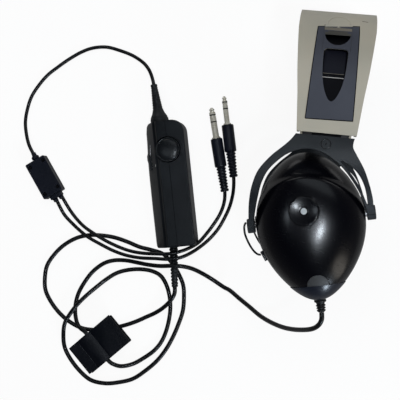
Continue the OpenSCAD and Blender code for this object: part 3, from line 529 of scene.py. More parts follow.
edge_width = {"headband_cover": 0.5, "adjuster_plate_right": 0.3, "adjuster_plate_left": 0.3,
              "plug_1_contacts": 0.12, "plug_2_contacts": 0.12, "cap_screw": 0.2, "boom_hub_screw": 0.2}
for name, node in nodes.items():
    finish[slot_of[name]].on(node)
    weld = node.modifiers.new("weld", "WELD")
    weld.merge_threshold = 0.00001
    flat = node.modifiers.new("flat", "DECIMATE")
    flat.decimate_type, flat.angle_limit = "DISSOLVE", math.radians(0.6)
    rounded(node, edge_width.get(name, 0.25))
    smooth(node)


# ---- Ear cups ----

cap_at = (-1.5, 12.3)
wall_z, rim_z, seat_z, chin_y = 57, 42, 77, -50.5
pivot_y, pivot_z = 4.5, 53
relief_line = ((3, -56, 47), (3, -70, 47))


def cup_edge(turn, share):
    """The cup's outline at an angle from its top, drawn in or out by a share."""
    c, s = math.cos(turn), math.sin(turn)
    return 2.7 + share * 46 * s * (1 + 0.07 * c - 0.2 * c * c), -1.1 + share * 62.3 * c


def cup_outline(share, around=96):
    return [cup_edge(-math.tau * i / around, share) for i in range(around)]


def under_brow(x, y, z):
    """How far the dome lies under its brow line, past which it steps down."""
    step = min(max((math.hypot(x + 3, y + 15) - 54.2) / 4.6, 0), 1)
    return 2.2 * step * step * (3 - 2 * step) * min(max((z - wall_z) / 4, 0), 1)


def cup_form(name, side, grow=1.0, brow=True):
    """The closed outer form of a cup: its side, leaning out, then the dome."""
    around, up = 200, 56
    rings = [[(*p, z) for p in cup_outline(share * grow, around)]
             for share, z in ((0.93, rim_z), (0.957, 45.5), (0.98, 49), (0.993, 53), (1, wall_z))]
    for i in range(1, up + 1):
        s = math.sin(math.pi / 2 * i / (up + 1))
        k = (1 - s * s) ** 0.4
        ring = []
        for ex, ey in cup_outline(grow, around):
            x, y, z = cap_at[0] + (ex - cap_at[0]) * k, cap_at[1] + (ey - cap_at[1]) * k, wall_z + 25 * s
            ring.append((x, y, z - (under_brow(x, y, z) if brow else 0)))
        rings.append(ring)
    return skinned(name, rings, on_cup[side])


def tab_tool(side, radius=9.3):
    half = [(3 + radius * math.cos(a), chin_y + radius * math.sin(a))
            for a in [math.pi * i / 32 for i in range(33)]]
    return slab("tab_tool", half, wall_z + 6, wall_z + 32, on_cup[side])


def chin_tool(side, edge=chin_y):
    return box("chin_tool", (-60, -90, 0), (60, edge, 120), on_cup[side])


def pivot_line(x):
    """Foot and direction of what lies on the axis that the cup tilts on."""
    return (x, pivot_y, pivot_z), (x + 9, pivot_y, pivot_z)


cap_line = ((*cap_at, seat_z), (*cap_at, seat_z + 13))
for side, name in side_name.items():
    place, body = on_cup[side], "cup_" + name
    shell = cup_form("dome_" + name, side)
    shaped_by(shell, chin_tool(side))
    shaped_by(shell, tab_tool(side))
    pocket = [(x, max(y, chin_y + 3)) for x, y in cup_outline(0.84)]
    shaped_by(shell, slab("pocket_tool", pocket, rim_z - 1, rim_z + 22, place))
    shaped_by(shell, turned("seat_tool", [(12.6, 0), (12.6, 12)], *cap_line, place, 96))
    for x, reach in ((-46, 7.5), (43.5, 8)):
        shaped_by(shell, turned("pin_tool", [(2.45, 0), (2.45, reach)], *pivot_line(x), place, 32))
    block = placed((-38.9, -21.8, 0), 21.8)
    shaped_by(shell, box("block", (-2.2, -4.5, 48.5), (3.8, 4.5, 55.5), lambda p: place(block(p) / mm)),
              "UNION")
    rounded(shell, 0.35, 2, 40)
    fitted(shell, body, "cup_gloss", "cup_shell_" + name)

    chin = cup_form("chin_" + name, side, 1.01, False)
    shaped_by(chin, chin_tool(side, chin_y - 0.15), "INTERSECT")
    if side > 0:
        shaped_by(chin, turned("bore_tool", [(4.22, 0), (4.22, 14)], *relief_line, place, 48))
    rounded(chin, 0.6, 3, 40)
    fitted(chin, body, "chin_gloss", "chin_cover_" + name)

    tab = cup_form("port_plug_" + name, side, 1, False)
    shaped_by(tab, tab_tool(side, 9.05), "INTERSECT")
    rounded(tab, 0.4, 2, 40)
    fitted(tab, body, "tab_grey", "port_tab_" + name)

dish = [(r, 5.84 + 0.0086 * r * r) for r in (10.9, 10.2, 9.4, 8.5, 7.5, 6.5, 5.5, 4.4, 3.4)]
boss = [(0.01, 0), (12.3, 0), (12.3, 5.9), (12.2, 6.35), (11.95, 6.7), (11.6, 6.9), (11.25, 6.94)] + \
    dish + [(2.95, 5.8), (2.7, 5.6), (2.66, 2), (0.01, 2)]
fitted(turned("boom_boss", boss, *cap_line, on_cup[1], 120), "cup_right", "cup_gloss", "boom_cap")

sleeve = [(0.01, 0), (4.2, 0), (4.2, 8.2), (5, 8.8), (5.2, 9.6), (5.1, 10.6), (3.8, 11.2), (3.5, 12.4)] + \
    ribs(12.6, 19, 4.2, 3.7, 3, 0.9) + [(2.4, 19.6), (0.01, 19.8)]
fitted(turned("cord_relief", sleeve, *relief_line, on_cup[1], 64), "cup_right", "relief_rubber",
       "cup_strain_relief")


# ---- Cushions ----

def swollen(piece, voxel, cap, hold):
    """Lets pressure crown a closed form, as its filling does. No point moves further than cap mm."""
    grid = piece.modifiers.new("grid", "REMESH")
    grid.mode, grid.voxel_size, grid.use_smooth_shade = "VOXEL", voxel * mm, True
    applied(piece)
    start = [v.co.copy() for v in piece.data.vertices]
    cloth = piece.modifiers.new("filling", "CLOTH")
    cloth.settings.use_pressure = True
    cloth.settings.uniform_pressure_force = 4
    cloth.settings.effector_weights.gravity = 0
    cloth.settings.quality = 6
    scene = bpy.context.scene
    for frame_number in range(1, 21):
        scene.frame_set(frame_number)
    graph = bpy.context.evaluated_depsgraph_get()
    swelled = piece.evaluated_get(graph).to_mesh()
    moved = [v.co.copy() for v in swelled.vertices]
    piece.evaluated_get(graph).to_mesh_clear()
    piece.modifiers.clear()
    scene.frame_set(1)
    for vertex, was, now in zip(piece.data.vertices, start, moved):
        shift = now - was
        if shift.length > cap * mm:
            shift *= cap * mm / shift.length
        vertex.co = hold(was + shift)
    return piece


def fine_skin(piece):
    more = piece.modifiers.new("fine", "SUBSURF")
    more.levels = more.render_levels = 1
    return applied(piece)


def across_seal(turn, share):
    """A point between the ear opening, at share 0, and the cushion's outer edge, at share 1."""
    edge_x, edge_y = cup_edge(turn, 0.92)
    hole_x, hole_y = 2.7 + 23 * math.sin(turn), 1 + 32 * math.cos(turn)
    return hole_x + (edge_x - hole_x) * share, hole_y + (edge_y - hole_y) * share


seal_section = [(0.14, 0.02), (0.5, 0.0), (0.86, 0.02), (0.95, 0.1), (0.985, 0.3), (0.98, 0.55), (0.92, 0.78),
                (0.78, 0.92), (0.5, 0.965), (0.25, 0.92), (0.1, 0.78), (0.04, 0.5), (0.06, 0.16)]
for side, name in side_name.items():
    rings = [[(*across_seal(-math.tau * i / 72, a), rim_z - 22 * b) for a, b in seal_section]
             for i in range(72)]
    cushion = skinned("ear_cushion_" + name, rings, on_cup[side], closed=True)
    shell_side = headset_at[2] + side * rim_z

    def against_cup(point, side=side, shell_side=shell_side):
        low = (point.z / mm - shell_side) * side
        return Vector((point.x, point.y, (shell_side - side * 0.05) * mm)) if low > -0.05 else point

    swollen(cushion, 4, 5, against_cup)
    fine_skin(cushion)
    fitted(cushion, "cup_" + name, "seal_leather", "ear_seal_" + name)
    for row, (share, depth) in enumerate(((1.035, 4.4), (-0.01, 5.5))):
        ring = [on_cup[side]((*across_seal(-math.tau * i / 144, share), rim_z - depth)) for i in range(145)]
        tube(f"cushion_welt_{name}_{row + 1}", ring, 0.65, "cup_" + name, "seal_leather", sides=3)


under_band = arch_r - 9.8


def pad_thickness(lean):
    return 16 * (0.3 + 0.7 * math.cos(lean * 1.35) ** 0.6)


def crown_cushion():
    """The pad under the arch: fat at the crown, thin at its ends, with its sides drawn in."""
    section = [(31, -0.35), (29.6, -0.08), (24, -0.02), (8, -0.02), (-8, -0.02), (-24, -0.02), (-29.6, -0.08),
               (-31, -0.35), (-29.8, -0.66), (-25, -0.86), (-16, -0.95), (0, -0.98), (16, -0.95), (25, -0.86),
               (29.8, -0.66)]
    rings = []
    stations = [(-arch_flat, -55 + 5 * i) for i in range(12)] + [(-7, 0), (0, 0), (7, 0)] + \
               [(arch_flat, 5 * i) for i in range(12)]
    for flat, degrees in stations:
        lean = math.radians(degrees)
        thick = pad_thickness(lean)
        pinch = 1 - 0.05 * abs(math.sin(math.radians(abs(degrees) * 3.0))) - 0.06 * (abs(degrees) > 52)
        rings.append([(x * 0.92 * pinch, arch_y + (under_band + h * thick) * math.cos(lean),
                       flat + (under_band + h * thick) * math.sin(lean)) for x, h in section])
    return skinned("crown_cushion", rings, on_band[1])


def under_liner(point):
    """Keeps a point of the cushion under the liner that it is fixed to."""
    c, s = math.cos(rest_turn), math.sin(rest_turn)
    x, y = point.x / mm - band_at[0], point.y / mm - band_at[1]
    level, out = c * y - s * x - arch_y, point.z / mm - band_at[2]
    past = out - max(-arch_flat, min(arch_flat, out))
    far = math.hypot(level, past)
    limit = under_band - 0.15
    if level < 0 or far <= limit:
        return point
    level_in, past_in = level * limit / far, past * limit / far
    across = c * x + s * y
    return on_band[1]((across, arch_y + level_in, out - past + past_in))


crown = crown_cushion()
swollen(crown, 5, 4, under_liner)
fine_skin(crown)
fitted(crown, "headband", "pad_leather", "headband_pad")
for edge in (-1, 1):
    welt = []
    for flat, first in ((-arch_flat, -54), (arch_flat, 0)):
        for lean in [math.radians(first + 3 * i) for i in range(19)]:
            reach = under_band - 0.34 * pad_thickness(lean)
            welt.append(on_band[1]((edge * 28.7, arch_y + reach * math.cos(lean),
                                    flat + reach * math.sin(lean))))
    tube("crown_welt_" + ("front" if edge > 0 else "rear"), welt, 0.7, "headband", "pad_leather", sides=3)


# ---- Microphone, on the left cup ----

boom_tip = (43.5, -19, 77.3)
boom_path = [(24, 12, 82.4), (29, 11, 82.3), (34, 8.5, 82), (39, 4, 81), (42.5, -3, 80), (44, -11, 78.6),
             boom_tip]
tube("boom_rod", [on_cup[-1](p) for p in eased(boom_path, 6)], 1.5, "boom", "yoke_black", "boom_arm")
muff = [(4.25, 4), (5.0, 4.2), (5.7, 5), (6.3, 6.4), (6.6, 8.4), (6.65, 11), (6.6, 13.6), (6.2, 16),
        (5.4, 18.2), (4.2, 19.8), (2.6, 20.8), (1.2, 21.15), (0.01, 21.2), (0.01, 16.05), (4.25, 16.05)]
foam_muff = turned("wind_muff", muff, boom_tip, (41, -40, 77.2), on_cup[-1], 64)
for vertex in foam_muff.data.vertices:
    vertex.co += vertex.normal * 0.0001 * noise.noise(vertex.co * 600)
fitted(foam_muff, "boom", "mic_foam", "mic_muff")

wire_path = [(-52, 7.9, 52), (-53.5, 5.6, 52), (-54.1, 2.2, 52), (-53.8, -2.8, 52), (-51.8, -9.6, 52),
             (-48.9, -15.9, 52), (-45.6, -19.9, 52), (-42.5, -21.05, 52)]
for side, name in side_name.items():
    tube("wire_" + name, [on_cup[side](p) for p in eased(wire_path, 8)], 0.9, "cup_" + name, "cord_rubber",
         "crossover_wire_" + name, sides=5)


# ---- Headband trim ----

# Painted shade: this grey is the cover's colour as seen in the shade of the slot above the window.
painted_shade_grey_look = moulded("bar_painted_shade_grey", tone(92, 88, 78), tone(104, 98, 88), 0.42, 0.00002)
# Painted highlight: a pale grey for the glint along the slider's lit edge.
painted_glint_look = moulded("painted_glint_pale_grey", tone(150, 150, 150), tone(170, 168, 165), 0.4, 0.00001)
# Painted shade: a deeper copy of the same shaded grey.
painted_deep_shade_grey_look = moulded("bar_painted_deep_shade_grey", tone(52, 51, 47), tone(62, 60, 55), 0.45, 0.00002)
mark_look = moulded("mark_grey", tone(14, 16, 18), tone(22, 24, 26), 0.35, 0.00001)
# Near-black for the plug bands, joints and marks, and also as painted shade: deep in the window, in the gap
# round each plate and in the splitter's screw recesses.
black_and_shade_look = moulded("black_and_painted_shade", tone(2, 2, 4), tone(8, 8, 10), 0.7, 0.00001, Specular_IOR_Level=0.12)
seam_look = moulded("seam_slate", tone(34, 37, 43), tone(42, 45, 52), 0.6, 0.00001)
# Painted reflection: the navy stands for the sky mirrored in the black slider face.
painted_sky_reflection_look = moulded("block_navy_painted_reflection", tone(5, 6, 16), tone(10, 11, 23), 0.4, 0.00002, Specular_IOR_Level=0.25)


def along_arch(name, points, lift, radius, side, slot, look=None):
    """A thin line over the band."""
    path = [on_band[side](on_arch(p.x, p.y, lift)) for p in eased([(*p, 0) for p in points], 6)]
    tube(name, path, radius, "headband", slot, look=look, sides=3)


def strip(name, sides, heights, lifts, side, slot, look=None, crown=0.0, edge=0.3):
    piece = skinned(name, arch_strip(*sides, *heights, *lifts, crown), on_band[side])
    rounded(piece, edge)
    fitted(piece, "headband", slot, look=look)


def seam_round(corners):
    """Points along the straight sides between corners, back to the first."""
    steps = 14
    return [tuple(a[i] + (b[i] - a[i]) * k / steps for i in (0, 1))
            for a, b in zip(corners, corners[1:] + corners[:1]) for k in range(steps)] + [corners[0]]


def on_yoke(x, y, lift):
    """A point of the yoke's outer face, which is bowed from the front."""
    return x, y, bow_z + math.sqrt((bow_out + lift) ** 2 - (y - bow_y) ** 2)


bow_out, bow_in, bow_y, bow_z = 93, 84, 62, -10
mark_at = (22.6, 64.7)
plate_x = 0.7
for side, name in side_name.items():
    # The upper and lower bar strips paint the shade in the slot above the window. The block line below uses
    # the lighter grey too.
    strip("bar_upper_" + name, (-10.9, 12.1), (160.9, 163.5), (0.2, 0.9), side, "slider_black", painted_shade_grey_look,
          crown=0.1, edge=0.25)
    strip("cover_lip_" + name, (-10.9, 12.1), (163.7, 167.7), (0.2, 0.7), side, "cover_silver",
          crown=0.1, edge=0.25)
    strip("bar_lower_" + name, (-10.6, 12.0), (156.9, 160.6), (0.1, 0.75), side, "slider_black", painted_deep_shade_grey_look,
          crown=0.1)
    # The slider sleeve is painted shade, deep in the window below the block.
    strip("slider_sleeve_" + name, (-17, 17), (126.3, 157.5), (-4.3, -3.4), side, "slider_black", black_and_shade_look)
    # The slider block's navy is a painted reflection of the sky on its face.
    strip("slider_block_" + name, (-8.6, 9.4), (124.2, 144.6), (-3.4, -2.3), side, "slider_black", painted_sky_reflection_look,
          crown=0.3, edge=0.5)
    along_arch("block_line_" + name, [(-8.2, 124.2), (9, 124.2)], -2.5, 0.22, side, "slider_black", painted_shade_grey_look)
    # The ridge line is a painted highlight, a pale line for the glint along the slider's lit edge.
    along_arch("ridge_line_" + name, [(-8.8, 120.8), (9, 120.8)], -2.35, 0.34, side, "slider_black",
               painted_glint_look)
    for row, x in enumerate((-10.9, 12.3)):
        along_arch(f"plate_rail_{name}_{row + 1}", [(x, 143), (x * 0.99, 154), (x * 0.985, 166)], 0.78, 0.2,
                   side, "plate_slate", seam_look)
    seam = seam_round([(plate_x - 19.2, 85.7), (plate_x + 19.2, 86.7), (plate_x + 17.2, 167.3),
                       (plate_x - 16.9, 164.3)])
    # Painted shadow: a dark line in the gap round the plate.
    tube("plate_seam_" + name, [on_band[side](on_arch(x, y, 0.0)) for x, y in seam], 0.46, "headband",
         "plate_slate", look=black_and_shade_look, sides=3)
    arc = [(1 + 9.9 * math.cos(a), 166.4 + 9.9 * math.sin(a)) for a in [math.pi * i / 12 for i in range(13)]]
    along_arch("embossed_arc_" + name, arc, 0.0, 0.42, side, "cover_silver")
    along_arch("cover_mark_" + name, [(19.9, 173.3), (22.2, 173.1), (24.6, 172.8)], 0.0, 0.2, side,
               "cover_silver", black_and_shade_look)
    ring = [on_cup[side](on_yoke(mark_at[0] + 3.9 * math.cos(a), mark_at[1] + 3.9 * math.sin(a), 0.08))
            for a in [math.tau * i / 48 for i in range(49)]]
    tube("yoke_ring_" + name, ring, 0.42, "yoke_" + name, "yoke_black", look=mark_look, sides=3)
    pip = [(0.01, -0.4), (0.8, -0.4), (0.8, 0.1), (0.5, 0.3), (0.01, 0.34)]
    fitted(turned("yoke_pip_" + name, pip, on_yoke(*mark_at, 0), on_yoke(*mark_at, 9), on_cup[side], 24),
           "yoke_" + name, "yoke_black", look=mark_look)


# ---- Yokes ----

yoke_inner = [(-45, -12), (-45, 0), (-44.4, 9), (-41.4, 19.6), (-37.8, 30), (-33.6, 40), (-27.2, 49.2),
              (-18.6, 56), (-9.4, 61), (1, 63.2), (10, 62.4), (19.5, 58.2), (26.4, 52.4), (33.2, 45),
              (39.6, 34.6), (45.4, 22.3), (49.4, 9), (50.3, 0), (50.3, -12)]
yoke_outer = [(58.5, -12), (58.5, 0), (55.8, 7.5), (55.5, 16), (54, 26.7), (51, 40), (46, 53), (44, 60),
              (47, 68)]
yoke_neck = [(1, 78), (-4.6, 72.6), (-11, 68), (-23, 60.6), (-34.6, 50.4), (-41.4, 38.6), (-45.4, 26.6),
             (-48, 13), (-49.3, 0), (-49.3, -12)]
yoke_slot = [(32.8, 48.4), (40.4, 37.5), (46.3, 25.3), (50.4, 12.6), (51.5, 13), (50, 27.4), (44.6, 39.8),
             (34.6, 49.4)]


def clear_of_boom(line, side):
    """Moves a line of the left yoke's front arm outward, by most in its middle, to leave the boom room."""
    if side > 0:
        return line
    room = 3.6
    return [(x + (room * max(0, min((y - 4) / 30, 1, (62 - y) / 12)) if x > 20 else 0), y) for x, y in line]


def yoke_piece(name, side):
    """A yoke: its plan, drawn up and cut to the bow that it has from the front."""
    place = on_cup[side]
    plan = [(q.x, q.y) for part in (clear_of_boom(yoke_inner, side), yoke_outer, yoke_neck)
            for q in eased([(*q, 0) for q in part], 5)]
    piece = slab("fork_" + name, plan, 30, 90, place)
    levels = [4.5 + 75 * i / 60 for i in range(61)]
    bow = [(y, on_yoke(0, y, 0)[2]) for y in levels] + \
          [(y, on_yoke(0, y, bow_in - bow_out)[2]) for y in reversed(levels)]
    shaped_by(piece, slab("bow_tool", bow, -70, 70, lambda p: place((p[2], p[0], p[1]))), "INTERSECT")
    slot_line = clear_of_boom(yoke_slot, side)
    loop = [(q.x, q.y) for q in eased([(*q, 0) for q in slot_line + slot_line[:1]], 5)][:-1]
    shaped_by(piece, slab("slot_tool", loop, 20, 95, place))
    for x, reach in ((-51, 6.6), (50.3, 7.2)):
        boss = [(0.01, 0), (5.7, 0), (6.2, 0.5), (6.2, reach - 0.5), (5.7, reach), (0.01, reach)]
        shaped_by(piece, turned("boss", boss, *pivot_line(x), place, 64), "UNION")
    shaped_by(piece, turned("pin_tool", [(2.42, 0), (2.42, 130)], (-62, pivot_y, pivot_z),
                            (60, pivot_y, pivot_z), place, 48))
    shaped_by(piece, box("strip_tool", (-12.03, 66, 77.07), (12.03, 135, 80.13), on_band[side]))
    shaped_by(piece, box("end_tool", (-60, 72.8, 40), (60, 132.8, 100), on_band[side]))
    rounded(piece, 0.6, 3, 40)
    fitted(piece, "yoke_" + name, "yoke_black", "yoke_" + name)
    piece.data.polygons.foreach_set("use_smooth", [False] * len(piece.data.polygons))


for side, name in side_name.items():
    yoke_piece(name, side)


# ---- Control module ----

case_left = [(-4.6, -2.2), (0, -2.5), (34, -2.8), (70, -2.8), (82, -2.6), (85, -3.2), (89, -3.2), (92, -2.2),
             (102, -1.6), (112, -1.4), (118, -0.6), (121.4, 0.6)]


def level_on(line, at):
    for (y0, v0), (y1, v1) in zip(line, line[1:]):
        if at <= y1:
            return v0 + (v1 - v0) * (at - y0) / (y1 - y0)
    return line[-1][1]


def case_section(y):
    """The case from one end: a sloping front, a sharp step, the flat top and an upright back."""
    left = level_on(case_left, y)
    right = 40 - (12 - math.sqrt(max(144 - max(y - 109.6, 0) ** 2, 0.2)))
    inward = 1 - 0.035 * max(0, (y - 119.6) / 1.8) - 0.035 * max(0, (-2.8 - y) / 1.8)
    points = [(left + 1, 0), (left, 1), (left - 0.1, 4.5), (left + 2.5, 12), (8.3, 24), (9.3, 24.7),
              (10.9, 25.1), (12.6, 27.7), (13.2, 28), (right - 1.6, 28), (right - 0.5, 27.5), (right, 26.4),
              (right, 1), (right - 1, 0)]
    return [(20 + (x - 20) * inward, y, 13 + (z - 13) * inward) for x, z in points]


dial_at = (22.3, 92.4)
slope_out, slope_up = (-0.942, 0.336), (0.336, 0.942)


def on_slope(y, z):
    """Places a point on the sloping front: up the slope, along the case, out of it."""
    return lambda p: in_module((10 * z / 28 + slope_up[0] * p[0] + slope_out[0] * p[2], y + p[1],
                                z + slope_up[1] * p[0] + slope_out[1] * p[2]))


case_levels = [-4.6, -3.7, -2.8, 0, 34, 70, 82, 85, 89, 92, 102, 109.6, 112, 114, 116, 117.6, 118.8, 119.6,
               120.5, 121.4]
for half, low, high, node_name in (("front", -20, 22.22, "module_front_shell"),
                                   ("back", 22.38, 60, "module_back_shell")):
    case = skinned("case_" + half, [case_section(y) for y in case_levels], in_module)
    shaped_by(case, box("half_tool", (low, -20, -10), (high, 140, 50), in_module), "INTERSECT")
    for z, reach in ((22, 9), (-1, 7)):
        shaped_by(case, turned("dial_tool", [(13.1, 0), (13.1, reach)], (*dial_at, z), (*dial_at, 40),
                               in_module, 96))
    shaped_by(case, box("cell_tool", (8, 9.5, 1.9), (35.5, 62, 16.5), in_module))
    if half == "front":
        shaped_by(case, box("switch_tool", (-3.05, -8.05, -4.05), (3.05, 8.05, 6), on_slope(82, 14)))
        shaped_by(case, turned("lens_tool", [(1.6, -4), (1.6, 3)], (0, 0, 0), (0, 0, 9),
                               on_slope(78, 22.5), 32))
    else:
        shaped_by(case, box("hatch_tool", (34, 12, 5.5), (41, 66, 22.5), in_module))
        shaped_by(case, box("door_tool", (37.85, 7.85, 3.85), (44, 70.15, 24.15), in_module))
    rounded(case, 0.4, 2, 32)
    fitted(case, "cup_right", "module_black", node_name)


neck = [(0.01, -2), (9.2, -2), (9.3, 0.4), (9.2, 3.2), (9.0, 4.6), (8.3, 4.9), (8.3, 5.2), (8.7, 5.5),
        (7.9, 7.2), (6.6, 9.4), (5.8, 11.6), (5.2, 14)] + ribs(14.4, 37, 5.1, 3.3, 9, 0.22) + \
    [(3.3, 37.2), (3.45, 38), (3.3, 39.2), (2.6, 39.6), (0.01, 39.6)]
fitted(turned("relief_upper", neck, (14.4, 121.2, 9.4), (12, 160.5, 9), in_module, 64), "cup_right",
       "relief_rubber", "module_reliefs")
tail = [(0.01, -2), (5, -2), (5, 0.8), (4.2, 1.2)] + ribs(1.4, 39, 4.5, 3.4, 11, 0.75) + \
    [(3.2, 39.2), (3.3, 40.4), (2.7, 41), (0.01, 41)]
fitted(turned("relief_lower", tail, (15.1, -4.4, 9), (12.2, -45.4, 9), in_module, 64), "cup_right",
       "relief_rubber")


# ---- Control module trim ----

def knurled(angle, radius, height):
    """Fine teeth round a dial's rim."""
    return 1 + (0.012 * math.cos(60 * angle) if radius > 12.2 and height > 0.2 else 0)


dial_profile = [(0.01, 0), (12.4, 0), (12.4, 4.9), (12.1, 5.4), (11.6, 5.6), (11.1, 5.4), (10.9, 4.9),
                (10.7, 4.9), (10.5, 5.3), (9.6, 5.75), (7.5, 6.25), (4.5, 6.6), (2, 6.72), (0.01, 6.75)]
for name, level, way in (("upper", 22.05, 1), ("lower", 5.95, -1)):
    dial = turned("dial_" + name + "_wheel", dial_profile, (*dial_at, level), (*dial_at, level + 30 * way),
                  in_module, 360, knurled)
    fitted(dial, "dial_" + name, "dial_black", "volume_dial_" + name)

bezel = [in_module((2.9 + 0.1 * (y - 94), y, 15.8)) for y in (88.6, 92, 96, 99.4)]
for row, ends in enumerate(((-3.6, 79), (105.8, 120.6))):
    tube(f"case_seam_{row + 1}", [in_module((dial_at[0], y, 27.9)) for y in ends], 0.24, "cup_right",
         "module_black", look=black_and_shade_look, sides=3)
tube("switch_bezel", bezel, 0.55, "cup_right", "steel", sides=4)


# ---- Splitter box ----

def rounded_box(name, low, high, radius, place):
    """An upright box with round corners in plan."""
    left, right, front, back = low[0] + radius, high[0] - radius, low[1] + radius, high[1] - radius
    corners = ((right, back), (left, back), (left, front), (right, front))
    outline = [(x + radius * math.cos(a), y + radius * math.sin(a))
               for quarter, (x, y) in enumerate(corners)
               for a in [math.pi / 2 * (quarter + k / 6) for k in range(7)]]
    return slab(name, outline, low[2], high[2], place)


box_look = moulded("splitter_blue_black", tone(5, 8, 17), tone(14, 17, 28), 0.42, Specular_IOR_Level=0.3)
in_splitter = placed((-272.19, -68.49, 0), -50.0)
recess_z, cord_z = 11.2, 6.2
screw_spots = [(x, y) for x in (-16.6, 14.6) for y in (-9.3, 6.3)]
splitter_pieces = []
for half, low, high in (("base", 0, 6.12), ("lid", 6.24, 12.4)):
    piece = rounded_box("splitter_case_" + half, (-21.2, -12.7, low), (19.4, 9.4, high), 1.4, in_splitter)
    if half == "lid":
        for x, y in screw_spots:
            shaped_by(piece, turned("recess_tool", [(2.1, 0), (2.1, 4)], (x, y, recess_z), (x, y, 20),
                                    in_splitter, 32))
    shaped_by(piece, rounded_box("hollow_tool", (-17.5, -6, 2.2), (15.5, 3, 10.2), 2, in_splitter))
    rounded(piece, 0.6, 3, 40)
    splitter_pieces.append(fitted(piece, "cup_right", "module_black", "splitter_" + half, look=box_look))
    block_low, block_high = (cord_z + (z - cord_z) * 0.6 for z in (low, high))
    block = rounded_box("splitter_block_" + half, (19.3, -7.2, block_low), (23.4, 5.8, block_high), 0.8,
                        in_splitter)
    splitter_pieces.append(fitted(rounded(block, 0.4, 2), "cup_right", "module_black", look=box_look))
screw_profile = [(0.01, -2), (1.5, -2), (1.7, 0), (1.5, 0.3), (0.8, 0.4), (0.01, 0.2)]
# The screw heads are painted near-black for the shade down in their recesses.
for row, (x, y) in enumerate(screw_spots):
    screw = turned(f"splitter_screw_{row + 1}", screw_profile, (x, y, recess_z), (x, y, 20), in_splitter, 24)
    splitter_pieces.append(fitted(screw, "cup_right", "steel", *(["splitter_screws"] if row == 0 else []),
                                  look=black_and_shade_look))
collar = turned("splitter_collar", [(0.01, 0), (3, 0), (3, 1.2), (3.9, 1.5), (4, 2.2), (3.9, 3.9), (3.3, 4.4),
                                    (2.5, 5.2), (2.3, 8.2), (0.01, 8.3)],
                (-21, -0.9, cord_z), (-29.4, -0.2, cord_z), in_splitter, 48)
splitter_pieces.append(fitted(collar, "cup_right", "module_black", look=box_look))
for row, y in enumerate((-3.6, 3)):
    sleeve = turned(f"splitter_sleeve_{row + 1}", [(0.01, 0), (2.6, 0), (2.6, 2.6), (2.1, 3.4), (0.01, 3.4)],
                    (23.2, y, cord_z), (30, y, cord_z), in_splitter, 32)
    splitter_pieces.append(fitted(sleeve, "cup_right", "module_black", look=box_look))


# ---- Clothing clip ----

clip_look = moulded("clip_blue_black", tone(1, 3, 8), tone(7, 9, 16), 0.42, Specular_IOR_Level=0.3)
in_clip = placed((-186.69, -225.79, 0), 50.2)
knuckle_x, knuckle_z = -4.3, 10.9


def across(name, length, radius, at=0):
    """A cylinder across the clip, on the axis that the cord runs along."""
    return turned(name, [(radius, 0), (radius, length)], (knuckle_x, at - length / 2, knuckle_z),
                  (knuckle_x, at + length / 2, knuckle_z), in_clip, 48)


leaf_line = [(-27.3, 14.9), (-26.9, 15.4), (-16.3, 15.6), (-15.7, 15.0), (-14.9, 15.5), (-13.4, 16.4),
             (-11.6, 17.2), (-9.4, 17.7), (-6, 17.8), (-2.4, 17.4), (0.2, 16.6), (1, 15.8), (1.7, 16.4),
             (2.6, 16.8), (21.2, 17), (21.5, 16.6), (21.8, 17), (22.9, 17), (23.2, 16.6), (23.5, 17),
             (24.6, 17), (24.9, 16.6), (25.2, 17), (26.9, 17), (27.3, 16.5), (27.3, 14.9), (2, 14.7),
             (-2, 15.2), (-6.6, 15.2), (-11, 14.6), (-15, 13.9)]
leaf = skinned("clip_top_leaf", [[(x, y, z) for x, z in leaf_line] for y in (-17.2, 16.4)], in_clip)
shaped_by(leaf, across("knuckle_tool", 18.4, 6.15), "UNION")
shaped_by(leaf, box("jaw_tool", (-26.5, -14, 7), (-24.1, 14, 15.1), in_clip), "UNION")
shaped_by(leaf, across("pin_tool", 60, 3.68))
for end in (-1, 1):
    shaped_by(leaf, across("lug_tool", 12, 4.3, end * 15.2))
rounded(leaf, 0.3, 2, 40)
fitted(leaf, "clip_leaf", "module_black", "clip_leaf", look=clip_look)

foot = rounded_box("clip_foot", (-27.2, -18, 4.6), (26.4, 15.6, 6.8), 1.2, in_clip)
for y in (-12.75, 12.75):
    shaped_by(foot, box("lug", (knuckle_x - 3.6, y - 2.75, 5), (knuckle_x + 3.6, y + 2.75, knuckle_z),
                        in_clip), "UNION")
shaped_by(foot, across("sleeve", 33.6, 3.6, -0.4), "UNION")
shaped_by(foot, across("bore_tool", 60, 2.35))
shaped_by(foot, box("room_tool", (knuckle_x - 8, -9.6, 4), (knuckle_x + 8, 9.6, 7.2), in_clip))
rounded(foot, 0.3, 2, 40)
fitted(foot, "cup_right", "module_black", "clip_base", look=clip_look)


# ---- Plug trim ----

def in_whole(p):
    return p * mm


def plug_bands(name, start, end, levels, radius):
    """Dark insulating bands between a plug's contacts."""
    band = [(radius * 0.9, 0), (radius + 0.05, 0), (radius + 0.05, 1.1), (radius * 0.9, 1.1)]
    a, b = Vector(start), Vector(end)
    for row, level in enumerate(levels):
        spot = a + (b - a).normalized() * level
        fitted(turned(f"{name}_band_{row + 1}", band, spot, b, in_whole, 48), "cup_right", "plug_black",
               look=black_and_shade_look)


def plug_grip(name, start, end, relief, grip, node_name):
    """Ribbed relief with its end bead, then the round grip with its turned-in rims."""
    profile = [(0.01, 0), (3.4, 0), (4.1, 0.5), (4.3, 1.4), (4.1, 2.5), (3.3, 2.9)] + \
        ribs(3.1, relief - 0.4, 4.1, 4.9, 7, 1.0) + \
        [(4.6, relief), (5.4, relief + 0.2), (5.9, relief + 0.8), (6, relief + 1.6), (6, relief + grip - 1.2),
         (5.8, relief + grip - 0.5), (5.2, relief + grip), (0.01, relief + grip)]
    return fitted(turned(name, profile, start, end, in_whole, 64), "cup_right", "plug_black", node_name)


